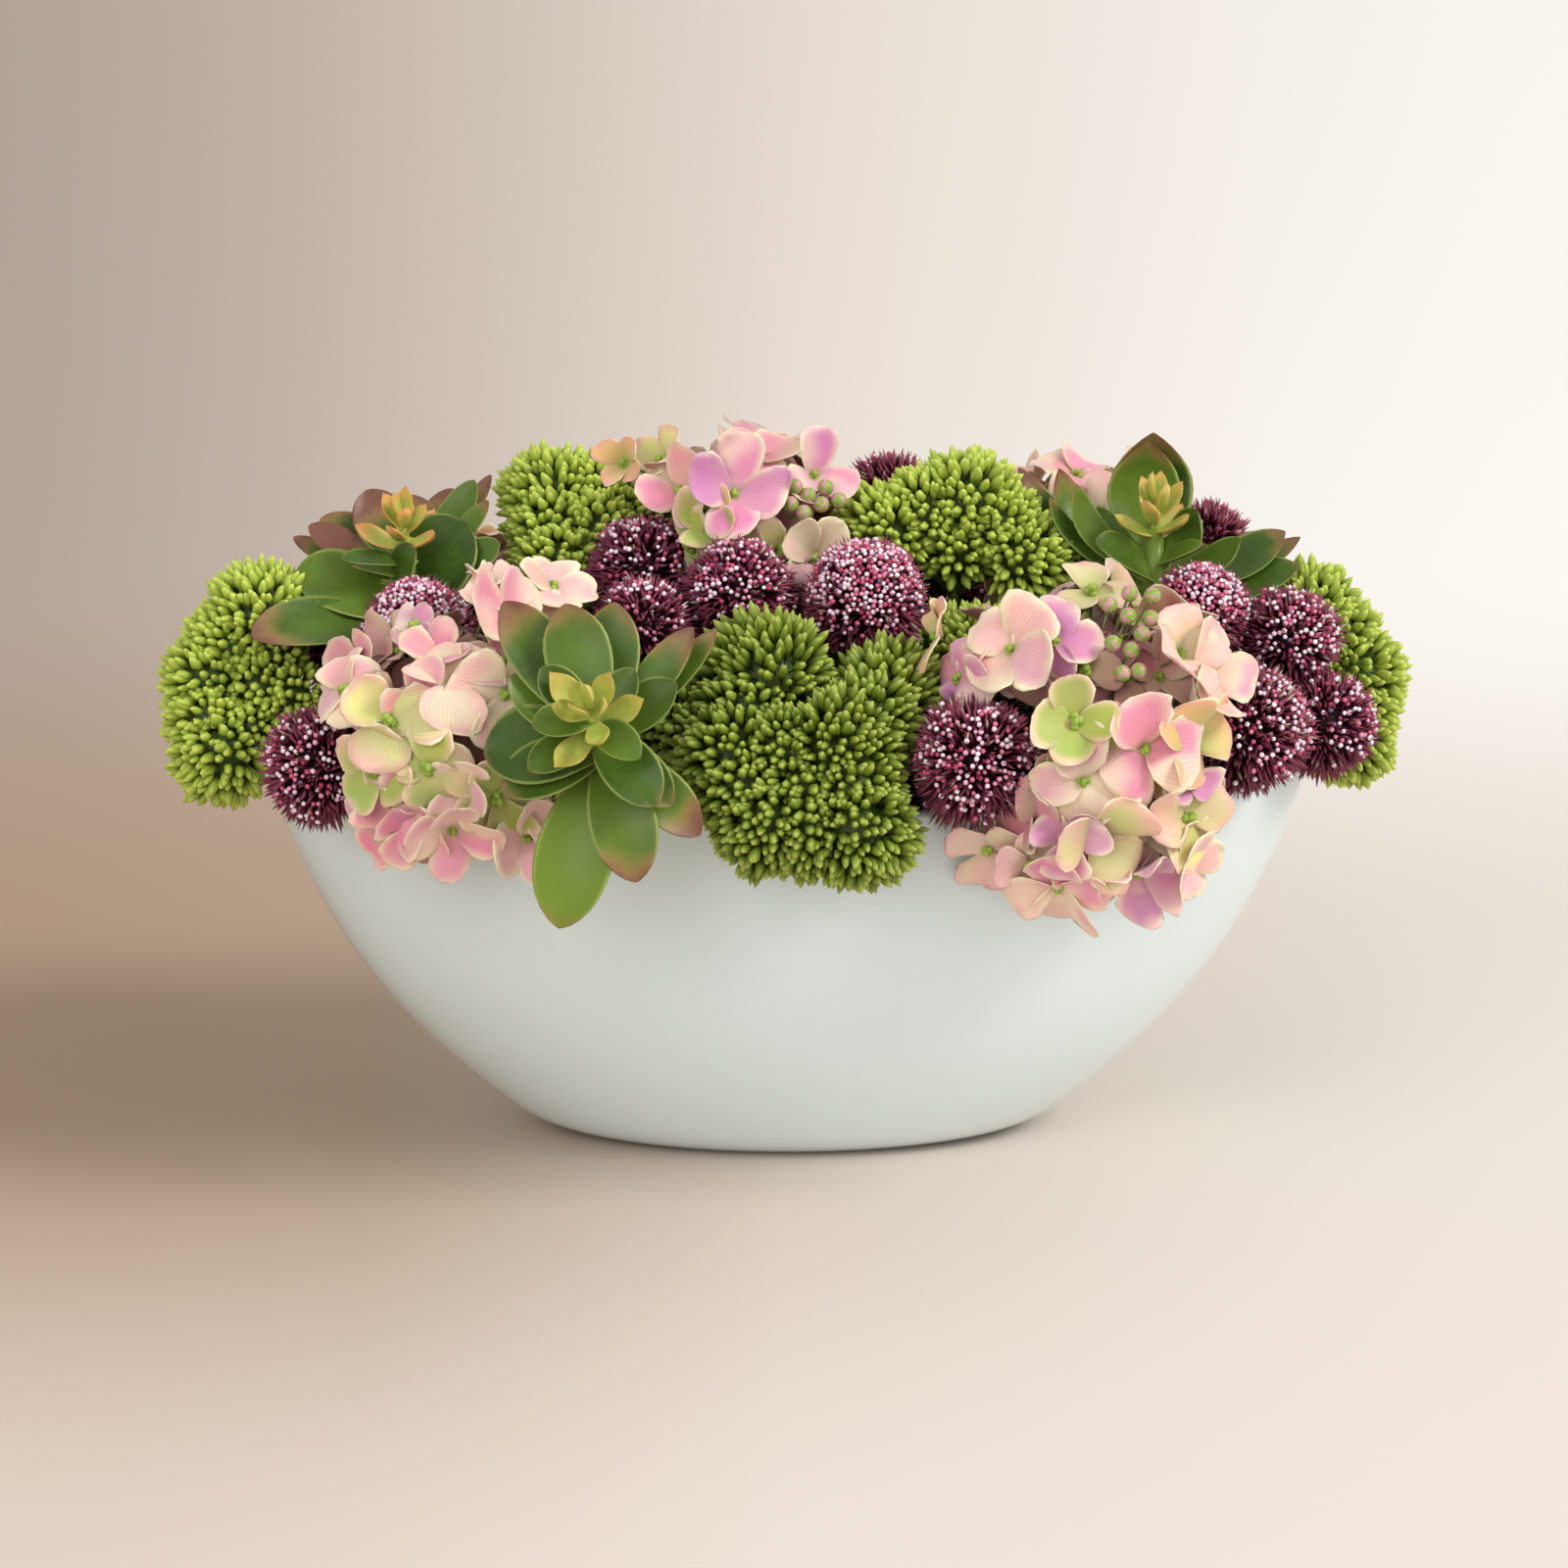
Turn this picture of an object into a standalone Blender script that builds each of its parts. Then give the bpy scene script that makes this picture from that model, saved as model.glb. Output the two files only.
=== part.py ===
"""Hydrangea and succulent planter: an oval white bowl with foam, sedum, allium, hydrangea and succulents.

Origin: centre of the bowl's foot, on the surface that it stands on. +Z up, -Y towards the front.
Plants are listed in millimetres. Flowers and leaves are listed as seen from the front by someone
who looks down at FRONT_TILT: (right, up, out), with out towards the viewer.
"""

import math
import random

import bmesh
import bpy
from mathutils import Matrix, Vector
from mathutils.bvhtree import BVHTree

MM = 0.001
COLLECTION = "hydrangea_succulent_planter"

# The bowl: half length and height, from the rim down to the foot. The foam block follows some of its rings.
BOWL_OUTLINE = (
    (240, 180), (235, 160), (222, 127), (200, 87), (171, 51), (137, 20), (116, 6), (92, 0), (0, 0),
)
FOAM_OUTLINE = ((240, 180), (222, 127), (171, 51), (116, 6), (92, 0), (0, 0))
BOWL_SIDES = 28
BOWL_DEPTH_SHARE = 0.475
WALL = 6 * MM
FOAM_GAP = 0.4 * MM
FOAM_TOP = 174 * MM

# Stems stand in straight holes in the foam.
STEM_RADIUS = 2.4 * MM
HOLE_RADIUS = STEM_RADIUS + 1.0 * MM
HOLE_DEPTH = 34 * MM
STEM_RISE = 7 * MM
STEM_STEPS = 2
CUTTER_RISE = 4 * MM
SEAT_GAP = 0.3 * MM
CLEARANCE = 0.5 * MM
SAMPLE_STEP = 5 * MM

FRONT_TILT = math.radians(15)
SPIKED_SHARE = 0.78
SEED = 7

# Allium balls: centre, radius and the place where the stem enters the foam.
ALLIUM_CORE_SHARE = 0.58
ALLIUMS = (
    ((-164, -40, 241), 28, (-150, -28)),
    ((-204, -86, 195), 28, (-166, -50)),
    ((-65, 5, 262), 26, (-62, 6)),
    ((-64, -42, 246), 24, (-60, -34)),
    ((-21, -27, 258), 27, (-20, -20)),
    ((36, -30, 256), 29, (34, -22)),
    ((50, 108, 272), 25, (46, 64)),
    ((82, -119, 206), 30, (78, -70)),
    ((196, 85, 254), 25, (166, 46)),
    ((186, -26, 248), 25, (174, -16)),
    ((226, -24, 237), 25, (197, 0)),
    ((204, -76, 206), 28, (168, -50)),
    ((242, -36, 201), 25, (200, -26)),
    ((-84, 122, 220), 30, (-74, 70)),
    ((74, 132, 220), 30, (70, 72)),
    ((-208, 64, 222), 29, (-168, 44)),
)

# Sedum clusters: the fork of the stem, where the stem enters the foam, and each umbel's centre and radius.
SEDUM_CORE_SHARE = 0.66
STALK_RADIUS = 1.8 * MM
SEDUMS = {
    "left_end": (
        (-222, -8, 206), (-196, 0),
        ((-240, 6, 240, 29), (-261, -4, 213, 27), (-256, -22, 184, 27), (-222, -18, 219, 25)),
    ),
    "back_left": (
        (-92, 50, 246), (-88, 44),
        ((-109, 62, 284, 28), (-105, 32, 258, 26), (-70, 62, 281, 26)),
    ),
    "front": (
        (12, -92, 200), (8, -72),
        (
            (-9, -82, 233, 34), (45, -82, 223, 31), (24, -117, 208, 33),
            (-24, -113, 207, 28), (-8, -134, 182, 27), (31, -137, 180, 30),
        ),
    ),
    "back_right": (
        (78, 34, 250), (74, 32),
        ((83, 40, 286, 29), (45, 30, 274, 27), (110, 26, 264, 26)),
    ),
    "right_end": (
        (228, 22, 208), (196, 22),
        ((240, 30, 236, 28), (262, 20, 209, 27), (258, 6, 184, 25)),
    ),
    "middle": (
        (86, -4, 198), (86, -4),
        ((106, -24, 224, 31), (66, -2, 222, 30), (128, 16, 214, 29)),
    ),
    "back_centre": (
        (0, 100, 206), (0, 82),
        ((4, 106, 242, 31), (-30, 122, 208, 31), (28, 124, 203, 30)),
    ),
}

# Hydrangea heads: centre, core radius, stem entry, florets (right, up, out, radius) and berries
# (right, up, out).
BERRY_RADIUS = 3.6 * MM
FLORET_THICKNESS = 1.0 * MM
PETAL_SHOULDER = 0.25
NECK_RADIUS = 1.7 * MM
FULLNESS = 1.22
HYDRANGEAS = {
    "front_left": (
        (-146, -74, 209), 15, (-136, -62),
        (
            (-40, 15, 42, 18), (4, 26, 54, 24), (-16, 46, 34, 20), (-25, 3, 56, 22), (-33, -18, 46, 19),
            (-8, -17, 58, 18), (24, 14, 52, 21), (20, -30, 48, 19), (-28, -42, 36, 19), (1, -44, 42, 20),
            (32, -48, 32, 19), (24, 45, 28, 21), (44, 66, 0, 18), (-40, 34, 4, 22), (-10, 50, -8, 24),
            (24, 34, -24, 24), (16, 62, 4, 16),
        ),
        ((-12, -56, 34), (-4, -60, 32)),
    ),
    "front_right": (
        (128, -82, 210), 16, (120, -62),
        (
            (-4, 3, 60, 18), (6, -42, 46, 21), (46, -38, 38, 20), (46, -6, 44, 18), (-60, 40, 14, 18),
            (-30, 34, 42, 21), (8, 60, 24, 21), (-10, 36, 46, 20), (26, -8, 56, 24), (0, -22, 56, 24),
            (32, 32, 42, 20), (56, 24, 26, 20), (-10, -68, 34, 21), (-40, -52, 26, 18), (26, -66, 28, 20),
            (-52, 22, 28, 18), (30, 46, -6, 24), (-22, 44, -4, 24), (58, 16, -10, 22),
        ),
        ((12, 52, 38), (22, 46, 38), (16, 30, 46)),
    ),
    "back_middle": (
        (-20, 34, 273), 14, (-18, 34),
        (
            (-22, -6, 42, 20), (4, -8, 46, 21), (32, -12, 36, 20), (-28, 20, 34, 20), (-6, 20, 42, 24),
            (10, 30, 26, 19), (30, 22, 26, 21), (-36, 34, 8, 18), (44, 12, 6, 17), (-56, 28, 4, 16),
            (-24, 22, -36, 20), (14, 24, -38, 21), (40, 0, -26, 19), (-4, -6, -52, 20),
        ),
        ((24, 14, 34), (30, 10, 32), (32, 16, 28)),
    ),
    "back_right": (
        (144, 84, 243), 14, (130, 58),
        (
            (-8, 46, 6, 20), (18, 36, 4, 19), (-26, 38, -18, 19), (8, 38, -28, 20), (34, 16, -18, 19),
            (-38, 4, -22, 19), (-14, 14, -46, 20), (18, 4, -48, 20), (40, -14, -34, 19), (-34, -24, -42, 19),
            (-4, -26, -52, 20),
        ),
        (),
    ),
    "back_left": (
        (-142, 90, 208), 14, (-130, 60),
        (
            (-14, 44, -10, 20), (16, 42, -12, 20), (-40, 26, -10, 19), (38, 26, -16, 18), (-4, 26, -44, 20),
            (-34, 8, -38, 20), (28, 6, -42, 19), (-14, -10, -54, 20), (12, -30, -50, 19),
            (-38, -26, -42, 19),
        ),
        (),
    ),
}

# Succulents: foot, growing tip (right, up, out), stem entry, and leaves. A leaf is (place along the stem
# from foot 0 to tip 1, right, up, out, width, belly), its tip measured from the foot.
LEAF_THICKNESS = 4.2 * MM
LEAF_STATIONS = ((0.42, 0.96), (0.76, 0.84))
CROWN_RADIUS = 5.5 * MM
HEART_RADIUS = 3.2 * MM
SUCCULENTS = {
    "front": (
        (-76, -132, 211), (-10, 42, 32), (-76, -80),
        (
            (0.45, -46, 67, 8, 23, -6), (0.5, -19, 66, 12, 25, -5), (0.4, 2, 67, 0, 23, -5),
            (0.3, 36, 56, 5, 15, -4), (0.22, 46, 55, -1, 12, -4), (0.35, 29, 32, 18, 18, -3),
            (0.15, 27, -21, 22, 18, 7), (0.05, 39, -34, 12, 20, 7), (0.35, 21, -21, 32, 21, 5),
            (0.1, 6, -54, 18, 25, 7), (0.0, -24, -74, 8, 26, 9), (0.2, -54, 1, 15, 32, 3),
            (0.12, -46, -15, 20, 23, 4), (0.4, -34, -6, 32, 15, 2), (0.33, -43, 35, 10, 21, -3),
            (0.6, -32, 13, 38, 14, 2), (0.62, -29, 38, 28, 15, -2), (0.5, 11, 38, 22, 14, -2),
            (0.5, 14, -1, 42, 14, 3),
        ),
        (
            (0.85, 9, 35, 40, 12, -2), (0.9, -6, 47, 40, 10, -2), (0.85, -24, 33, 42, 9, -1),
            (0.8, -22, 21, 44, 9, 0),
        ),
    ),
    "left": (
        (-174, 16, 250), (0, 30, 12), (-150, 14),
        (
            (0.2, -50, 8, 24, 28, 5), (0.0, -68, -26, 26, 22, 7), (0.25, -45, 31, -5, 15, -3),
            (0.1, -53, 26, -14, 11, -3), (0.3, -40, 35, -13, 23, -4), (0.4, -19, 48, -15, 22, -4),
            (0.4, 1, 46, -20, 24, -4), (0.3, 20, 49, -24, 16, -4), (0.3, 31, 52, -9, 14, -4),
            (0.2, 38, 55, -18, 9, -4), (0.2, 38, 42, 2, 10, -3), (0.15, 27, 32, 28, 33, 5),
            (0.1, 44, 22, 14, 19, 4), (0.4, 5, 19, 33, 18, 4), (0.4, -27, 14, 30, 9, 2),
            (0.2, -30, 22, -44, 24, -4), (0.15, 12, 20, -48, 24, -4), (0.1, 36, 12, -32, 22, -3),
        ),
        (
            (0.8, -8, 48, 8, 9, -2), (0.85, 7, 45, 12, 8, -2), (0.6, -18, 30, 26, 13, -2),
            (0.7, -20, 38, 10, 7, -1), (0.7, 18, 34, 20, 7, -1), (0.8, 3, 35, 24, 9, -1),
        ),
    ),
    "right": (
        (168, 12, 246), (1, 46, 5), (150, 14),
        (
            (0.3, 1, 79, -14, 33, -5), (0.35, -2, 74, -5, 29, -5), (0.1, -61, 63, -14, 16, -5),
            (0.2, -43, 62, -6, 16, -5), (0.2, -36, 54, 8, 14, -4), (0.1, -48, 48, 8, 9, -3),
            (0.3, -26, 44, -2, 16, -3), (0.2, -28, 27, 22, 18, 4), (0.1, 61, 33, -5, 20, -4),
            (0.05, 69, 31, -16, 12, -4), (0.15, 39, 29, 12, 15, -3), (0.05, 67, 17, 2, 21, -3),
            (0.4, 19, 42, 12, 19, -3), (0.35, 21, 26, 20, 9, 2), (0.2, -20, 36, -44, 26, -4),
            (0.15, 24, 30, -44, 26, -4), (0.05, -50, 26, -26, 20, -3),
        ),
        (
            (0.55, -13, 27, 17, 13, -2), (0.6, 12, 26, 21, 13, -2), (0.7, -15, 42, 7, 9, -2),
            (0.8, -6, 50, 14, 8, -2), (0.8, 8, 57, 2, 10, -2), (0.8, 17, 44, 10, 9, -2),
        ),
    ),
}

PALETTE = {
    "glazed_white": ((0.80, 0.83, 0.78), 0.25),
    "foam_green": ((0.10, 0.16, 0.07), 0.95),
    "stem_green": ((0.22, 0.34, 0.10), 0.6),
    "sedum_green": ((0.36, 0.50, 0.10), 0.5),
    "allium_purple": ((0.30, 0.07, 0.16), 0.7),
    "petal_pink": ((0.86, 0.55, 0.56), 0.7),
    "leaf_green": ((0.20, 0.40, 0.09), 0.4),
    "heart_yellow": ((0.72, 0.62, 0.18), 0.4),
}


def clear_scene():
    for obj in list(bpy.data.objects):
        bpy.data.objects.remove(obj)


def collection(name):
    made = bpy.data.collections.new(name)
    bpy.context.scene.collection.children.link(made)
    return made


def material(name):
    """A Principled material in one of the PALETTE colours, made once."""
    found = bpy.data.materials.get(name)
    if found:
        return found
    colour, roughness = PALETTE[name]
    made = bpy.data.materials.new(name)
    made.use_nodes = True
    shader = made.node_tree.nodes["Principled BSDF"]
    shader.inputs["Base Color"].default_value = (*colour, 1)
    shader.inputs["Roughness"].default_value = roughness
    shader.inputs["Metallic"].default_value = 0
    return made


def add_object(name, data, group, finish=None):
    obj = bpy.data.objects.new(name, data)
    group.objects.link(obj)
    if finish:
        obj.data.materials.append(material(finish))
    return obj


def mm(values):
    return Vector(values) * MM


def seen(right, up, out):
    """A step in millimetres as seen from the front, as a vector in the part's frame."""
    sine, cosine = math.sin(FRONT_TILT), math.cos(FRONT_TILT)
    return mm((right, up * sine - out * cosine, up * cosine + out * sine))


def evaluated_mesh(obj, weld=1e-6):
    """A plain mesh of the object with its modifiers applied and doubled points merged."""
    graph = bpy.context.evaluated_depsgraph_get()
    mesh = bpy.data.meshes.new_from_object(obj.evaluated_get(graph))
    mesh.transform(obj.matrix_world)
    work = bmesh.new()
    work.from_mesh(mesh)
    bmesh.ops.remove_doubles(work, verts=work.verts, dist=weld)
    bmesh.ops.recalc_face_normals(work, faces=work.faces)
    work.to_mesh(mesh)
    work.free()
    return mesh


def mesh_from(work, name):
    mesh = bpy.data.meshes.new(name)
    work.to_mesh(mesh)
    work.free()
    return mesh


def tree_of(mesh):
    points = [vertex.co for vertex in mesh.vertices]
    return BVHTree.FromPolygons(points, [tuple(face.vertices) for face in mesh.polygons])


class Space:
    """What already fills the room. Later petals, spikes and buds are kept clear of it."""

    def __init__(self):
        self.solids = []
        self.cores = []
        self.heads = []

    def add_solid(self, owner, mesh):
        points = [vertex.co for vertex in mesh.vertices]
        middle = sum(points, Vector()) / len(points)
        reach = max((point - middle).length for point in points)
        self.solids.append((owner, tree_of(mesh), middle, reach))

    def add_core(self, owner, centre, radius):
        self.cores.append((owner, centre, radius))

    def add_head(self, centre, radius):
        self.heads.append((centre, radius))

    def near(self, owner, point, margin):
        """Whether something of another owner lies within the margin of the point."""
        for other, centre, radius in self.cores:
            if other != owner and (point - centre).length < radius + margin:
                return True
        for other, tree, middle, reach in self.solids:
            if other == owner or (point - middle).length > reach + margin:
                continue
            if tree.find_nearest(point, margin)[0] is not None:
                return True
        return False

    def crosses(self, owner, mesh):
        """Whether the mesh cuts or nearly touches something of another owner."""
        tree = tree_of(mesh)
        for other, solid, _, _ in self.solids:
            if other != owner and solid.overlap(tree):
                return True
        points = [face.center for face in mesh.polygons]
        for edge in mesh.edges:
            start, end = (mesh.vertices[number].co for number in edge.vertices)
            steps = 1 + int((end - start).length / SAMPLE_STEP)
            points += [start.lerp(end, step / steps) for step in range(steps + 1)]
        return any(self.near(owner, point, CLEARANCE) for point in points)

    def crossing_faces(self, owner, work):
        """The numbers of the faces that cut something of another owner."""
        tree = BVHTree.FromBMesh(work)
        cut = set()
        for other, solid, _, _ in self.solids:
            if other != owner:
                cut.update(mine for _, mine in solid.overlap(tree))
        return cut

    def in_own_cell(self, centre, radius, point, margin):
        """Whether the point is on this head's side of the plane between it and each other dense head."""
        for other, other_radius in self.heads:
            away = other - centre
            distance = away.length
            if distance < MM or distance > radius + other_radius + 2 * margin:
                continue
            plane = (distance**2 + radius**2 - other_radius**2) / (2 * distance)
            if (point - centre).dot(away) / distance > plane - margin:
                return False
        return True


def oval_shell(profile):
    """A closed foot and side, open at the rim: the profile turned, then pressed into an oval."""
    work = bmesh.new()
    points = [work.verts.new((x * MM, 0, z * MM)) for x, z in profile]
    for upper, lower in zip(points, points[1:]):
        work.edges.new((upper, lower))
    outline = bpy.data.objects.new("outline", mesh_from(work, "outline"))
    bpy.context.scene.collection.objects.link(outline)
    screw = outline.modifiers.new("turn", "SCREW")
    screw.steps = screw.render_steps = BOWL_SIDES
    screw.use_merge_vertices = True
    screw.merge_threshold = 0.0001
    mesh = evaluated_mesh(outline)
    bpy.data.objects.remove(outline)
    mesh.transform(Matrix.Diagonal((1, BOWL_DEPTH_SHARE, 1, 1)))
    work = bmesh.new()
    work.from_mesh(mesh)
    lowest = min(work.faces, key=lambda face: face.calc_center_median().z)
    if lowest.normal.z > 0:
        bmesh.ops.reverse_faces(work, faces=work.faces)
    work.to_mesh(mesh)
    work.free()
    return mesh


def make_bowl(group):
    bowl = add_object("planter_bowl", oval_shell(BOWL_OUTLINE), group, "glazed_white")
    wall = bowl.modifiers.new("wall", "SOLIDIFY")
    wall.thickness = WALL
    wall.offset = -1
    bowl.data.shade_smooth()
    return bowl


def foam_block():
    """The bowl's face moved in past the wall, cut level and filled across the top."""
    work = bmesh.new()
    work.from_mesh(oval_shell(FOAM_OUTLINE))
    work.normal_update()
    for vertex in work.verts:
        vertex.co -= vertex.normal * (WALL + FOAM_GAP)
    everything = work.verts[:] + work.edges[:] + work.faces[:]
    level = Vector((0, 0, FOAM_TOP))
    cut = bmesh.ops.bisect_plane(work, geom=everything, plane_co=level, plane_no=(0, 0, 1), clear_outer=True)
    rim = [edge for edge in cut["geom_cut"] if isinstance(edge, bmesh.types.BMEdge)]
    bmesh.ops.contextual_create(work, geom=rim)
    bmesh.ops.recalc_face_normals(work, faces=work.faces)
    return mesh_from(work, "foam")


def make_foam(group, holes):
    foam = add_object("floral_foam", foam_block(), group, "foam_green")
    drill = foam.modifiers.new("stem_holes", "BOOLEAN")
    drill.operation = "DIFFERENCE"
    drill.operand_type = "COLLECTION"
    drill.collection = holes
    return foam


def add_hole(entry, holes):
    depth = HOLE_DEPTH + CUTTER_RISE
    work = bmesh.new()
    bmesh.ops.create_cone(
        work, cap_ends=True, segments=5, radius1=HOLE_RADIUS, radius2=HOLE_RADIUS, depth=depth
    )
    middle = Vector((entry[0] * MM, entry[1] * MM, FOAM_TOP + CUTTER_RISE - depth / 2))
    bmesh.ops.translate(work, verts=work.verts, vec=middle)
    cutter = add_object(f"hole_{len(holes.objects) + 1:02d}", mesh_from(work, "hole"), holes)
    cutter.hide_render = True
    cutter.display_type = "WIRE"


def tube(name, points, radius, group, sides_level=0, finish=None):
    """A round bar along the points."""
    curve = bpy.data.curves.new(name, "CURVE")
    curve.dimensions = "3D"
    curve.bevel_depth = radius
    curve.bevel_resolution = sides_level
    curve.use_fill_caps = True
    spline = curve.splines.new("POLY")
    spline.points.add(len(points) - 1)
    for place, point in zip(spline.points, points):
        place.co = (*point, 1)
    return add_object(name, curve, group, finish)


def stem_route(entry, end, arrival):
    """Straight up out of the foam, then over in a curve that arrives along the given direction."""
    bottom = Vector((entry[0] * MM, entry[1] * MM, FOAM_TOP - HOLE_DEPTH + SEAT_GAP))
    top = Vector((entry[0] * MM, entry[1] * MM, FOAM_TOP + STEM_RISE))
    lean = (end - top).length / 3
    before_end = end - arrival * lean
    rise = top + Vector((0, 0, lean))
    route = [bottom, top]
    for step in range(1, STEM_STEPS + 1):
        share = step / STEM_STEPS
        rest = 1 - share
        point = top * rest**3 + rise * (3 * rest**2 * share)
        point += before_end * (3 * rest * share**2) + end * share**3
        route.append(point)
    return route


def make_stem(name, entry, centre, core_radius, group, space):
    """A stem from the foam to just under a head's core. Returns the direction in which it arrives."""
    top = Vector((entry[0] * MM, entry[1] * MM, FOAM_TOP + STEM_RISE))
    arrival = (centre - top).normalized()
    end = centre - arrival * (core_radius + SEAT_GAP)
    stem = tube(name, stem_route(entry, end, arrival), STEM_RADIUS, group, 0, "stem_green")
    space.add_solid(name, evaluated_mesh(stem))
    return arrival


def largest_body(mesh):
    """Drops the loose scraps that a union can leave."""
    work = bmesh.new()
    work.from_mesh(mesh)
    work.verts.ensure_lookup_table()
    unseen = set(work.verts)
    bodies = []
    while unseen:
        body = {unseen.pop()}
        edge = list(body)
        while edge:
            vertex = edge.pop()
            for link in vertex.link_edges:
                other = link.other_vert(vertex)
                if other in unseen:
                    unseen.remove(other)
                    body.add(other)
                    edge.append(other)
        bodies.append(body)
    bodies.sort(key=len)
    for scrap in bodies[:-1]:
        bmesh.ops.delete(work, geom=list(scrap), context="VERTS")
    work.to_mesh(mesh)
    work.free()


def union(name, body, pieces, group, finish):
    """One closed mesh of a body and the pieces that are rooted in it."""
    scrap = collection("scrap")
    base = add_object(name, body, group, finish)
    for number, piece in enumerate(pieces):
        scrap.objects.link(bpy.data.objects.new(f"piece_{number}", piece))
    joined = base.modifiers.new("join", "BOOLEAN")
    joined.operation = "UNION"
    joined.operand_type = "COLLECTION"
    joined.collection = scrap
    joined.solver = "MANIFOLD"
    mesh = evaluated_mesh(base)
    largest_body(mesh)
    base.modifiers.clear()
    base.data = mesh
    for obj in list(scrap.objects):
        bpy.data.objects.remove(obj)
    bpy.data.collections.remove(scrap)
    return base


def placed(work, centre, pointing):
    """Turns a shape's +Z along the direction and moves its origin to the centre."""
    turn = pointing.to_track_quat("Z", "Y").to_matrix().to_4x4()
    bmesh.ops.transform(work, matrix=Matrix.Translation(centre) @ turn, verts=work.verts)
    return work


def allowed_length(space, owner, cell, start, direction, length, half_width):
    """How far a tapering spike may grow before it meets another piece or another head's room."""
    centre, radius = cell
    allowed = 0
    steps = 8
    for step in range(1, steps + 1):
        share = step / steps
        point = start + direction * (length * share)
        margin = half_width * (1 - share) + CLEARANCE
        if not space.in_own_cell(centre, radius, point, margin) or space.near(owner, point, margin):
            break
        allowed = length * share
    return allowed


def spiked_core(space, owner, centre, radius, core_share, pointing, bare_below, jitter, dice):
    """A core whose faces are each drawn out to a point, but for those that face back along the stem."""
    core = radius * core_share
    work = bmesh.new()
    bmesh.ops.create_icosphere(work, subdivisions=2, radius=core)
    placed(work, centre, pointing)
    tips = {}
    for face in list(work.faces):
        middle = face.calc_center_median()
        direction = (middle - centre).normalized()
        sway = Vector([dice.uniform(-jitter, jitter) for _ in range(3)])
        length = (radius - core) * dice.uniform(0.9, 1.05)
        if direction.dot(pointing) < bare_below or dice.random() > SPIKED_SHARE:
            continue
        direction = (direction + sway).normalized()
        half_width = math.sqrt(face.calc_area()) * 0.5
        grown = allowed_length(space, owner, (centre, radius), middle, direction, length, half_width)
        if grown < 0.2 * length:
            continue
        tip = bmesh.ops.poke(work, faces=[face])["verts"][0]
        tip.co = middle + direction * grown
        tips[tip] = middle
    for _ in range(8):
        work.faces.ensure_lookup_table()
        touching = space.crossing_faces(owner, work)
        pulled = {vertex for number in touching for vertex in work.faces[number].verts if vertex in tips}
        if not pulled:
            break
        for tip in pulled:
            tip.co = tips[tip].lerp(tip.co, 0.5)
    return work


def make_alliums(group, holes, space):
    for number, (centre, radius, entry) in enumerate(ALLIUMS, 1):
        core = radius * MM * ALLIUM_CORE_SHARE
        space.add_core(f"allium_ball_{number:02d}", mm(centre), core)
        space.add_head(mm(centre), radius * MM)
        add_hole(entry, holes)

    def grow():
        dice = random.Random(SEED)
        for number, (centre, radius, entry) in enumerate(ALLIUMS, 1):
            name = f"allium_ball_{number:02d}"
            middle = mm(centre)
            pointing = arrivals[number]
            work = spiked_core(
                space, name, middle, radius * MM, ALLIUM_CORE_SHARE, pointing, -0.6, 0.12, dice
            )
            ball = add_object(name, mesh_from(work, name), group, "allium_purple")
            space.add_solid(name, ball.data)

    arrivals = {}
    for number, (centre, radius, entry) in enumerate(ALLIUMS, 1):
        core = radius * MM * ALLIUM_CORE_SHARE
        arrivals[number] = make_stem(f"allium_stem_{number:02d}", entry, mm(centre), core, group, space)
    return grow


def make_sedums(group, holes, space):
    """Each cluster is one piece: a forked stem with a dome of buds on each branch."""
    bodies = {}
    for place, (fork, entry, umbels) in SEDUMS.items():
        name = f"sedum_{place}"
        add_hole(entry, holes)
        for *centre, radius in umbels:
            space.add_core(name, mm(centre), radius * MM * SEDUM_CORE_SHARE)
            space.add_head(mm(centre), radius * MM)
        rise = Vector((0, 0, 1))
        end = mm(fork)
        trunk = tube("trunk", stem_route(entry, end, rise), STEM_RADIUS, group, 1)
        stalks = [tube("stalk", [end - rise * MM, mm(centre)], STALK_RADIUS, group) for *centre, _ in umbels]
        bodies[name] = [evaluated_mesh(bar) for bar in [trunk, *stalks]]
        for bar in [trunk, *stalks]:
            bpy.data.objects.remove(bar)
        for mesh in bodies[name]:
            space.add_solid(name, mesh)

    def grow():
        dice = random.Random(SEED + 1)
        for place, (fork, entry, umbels) in SEDUMS.items():
            name = f"sedum_{place}"
            domes = []
            for *centre, radius in umbels:
                pointing = (mm(centre) - mm(fork)).normalized()
                work = spiked_core(
                    space, name, mm(centre), radius * MM, SEDUM_CORE_SHARE, pointing, -0.35, 0.06, dice
                )
                domes.append(mesh_from(work, "dome"))
            trunk, *stalks = bodies[name]
            cluster = union(name, trunk, stalks + domes, group, "sedum_green")
            space.add_solid(name, cluster.data)

    return grow


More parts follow.
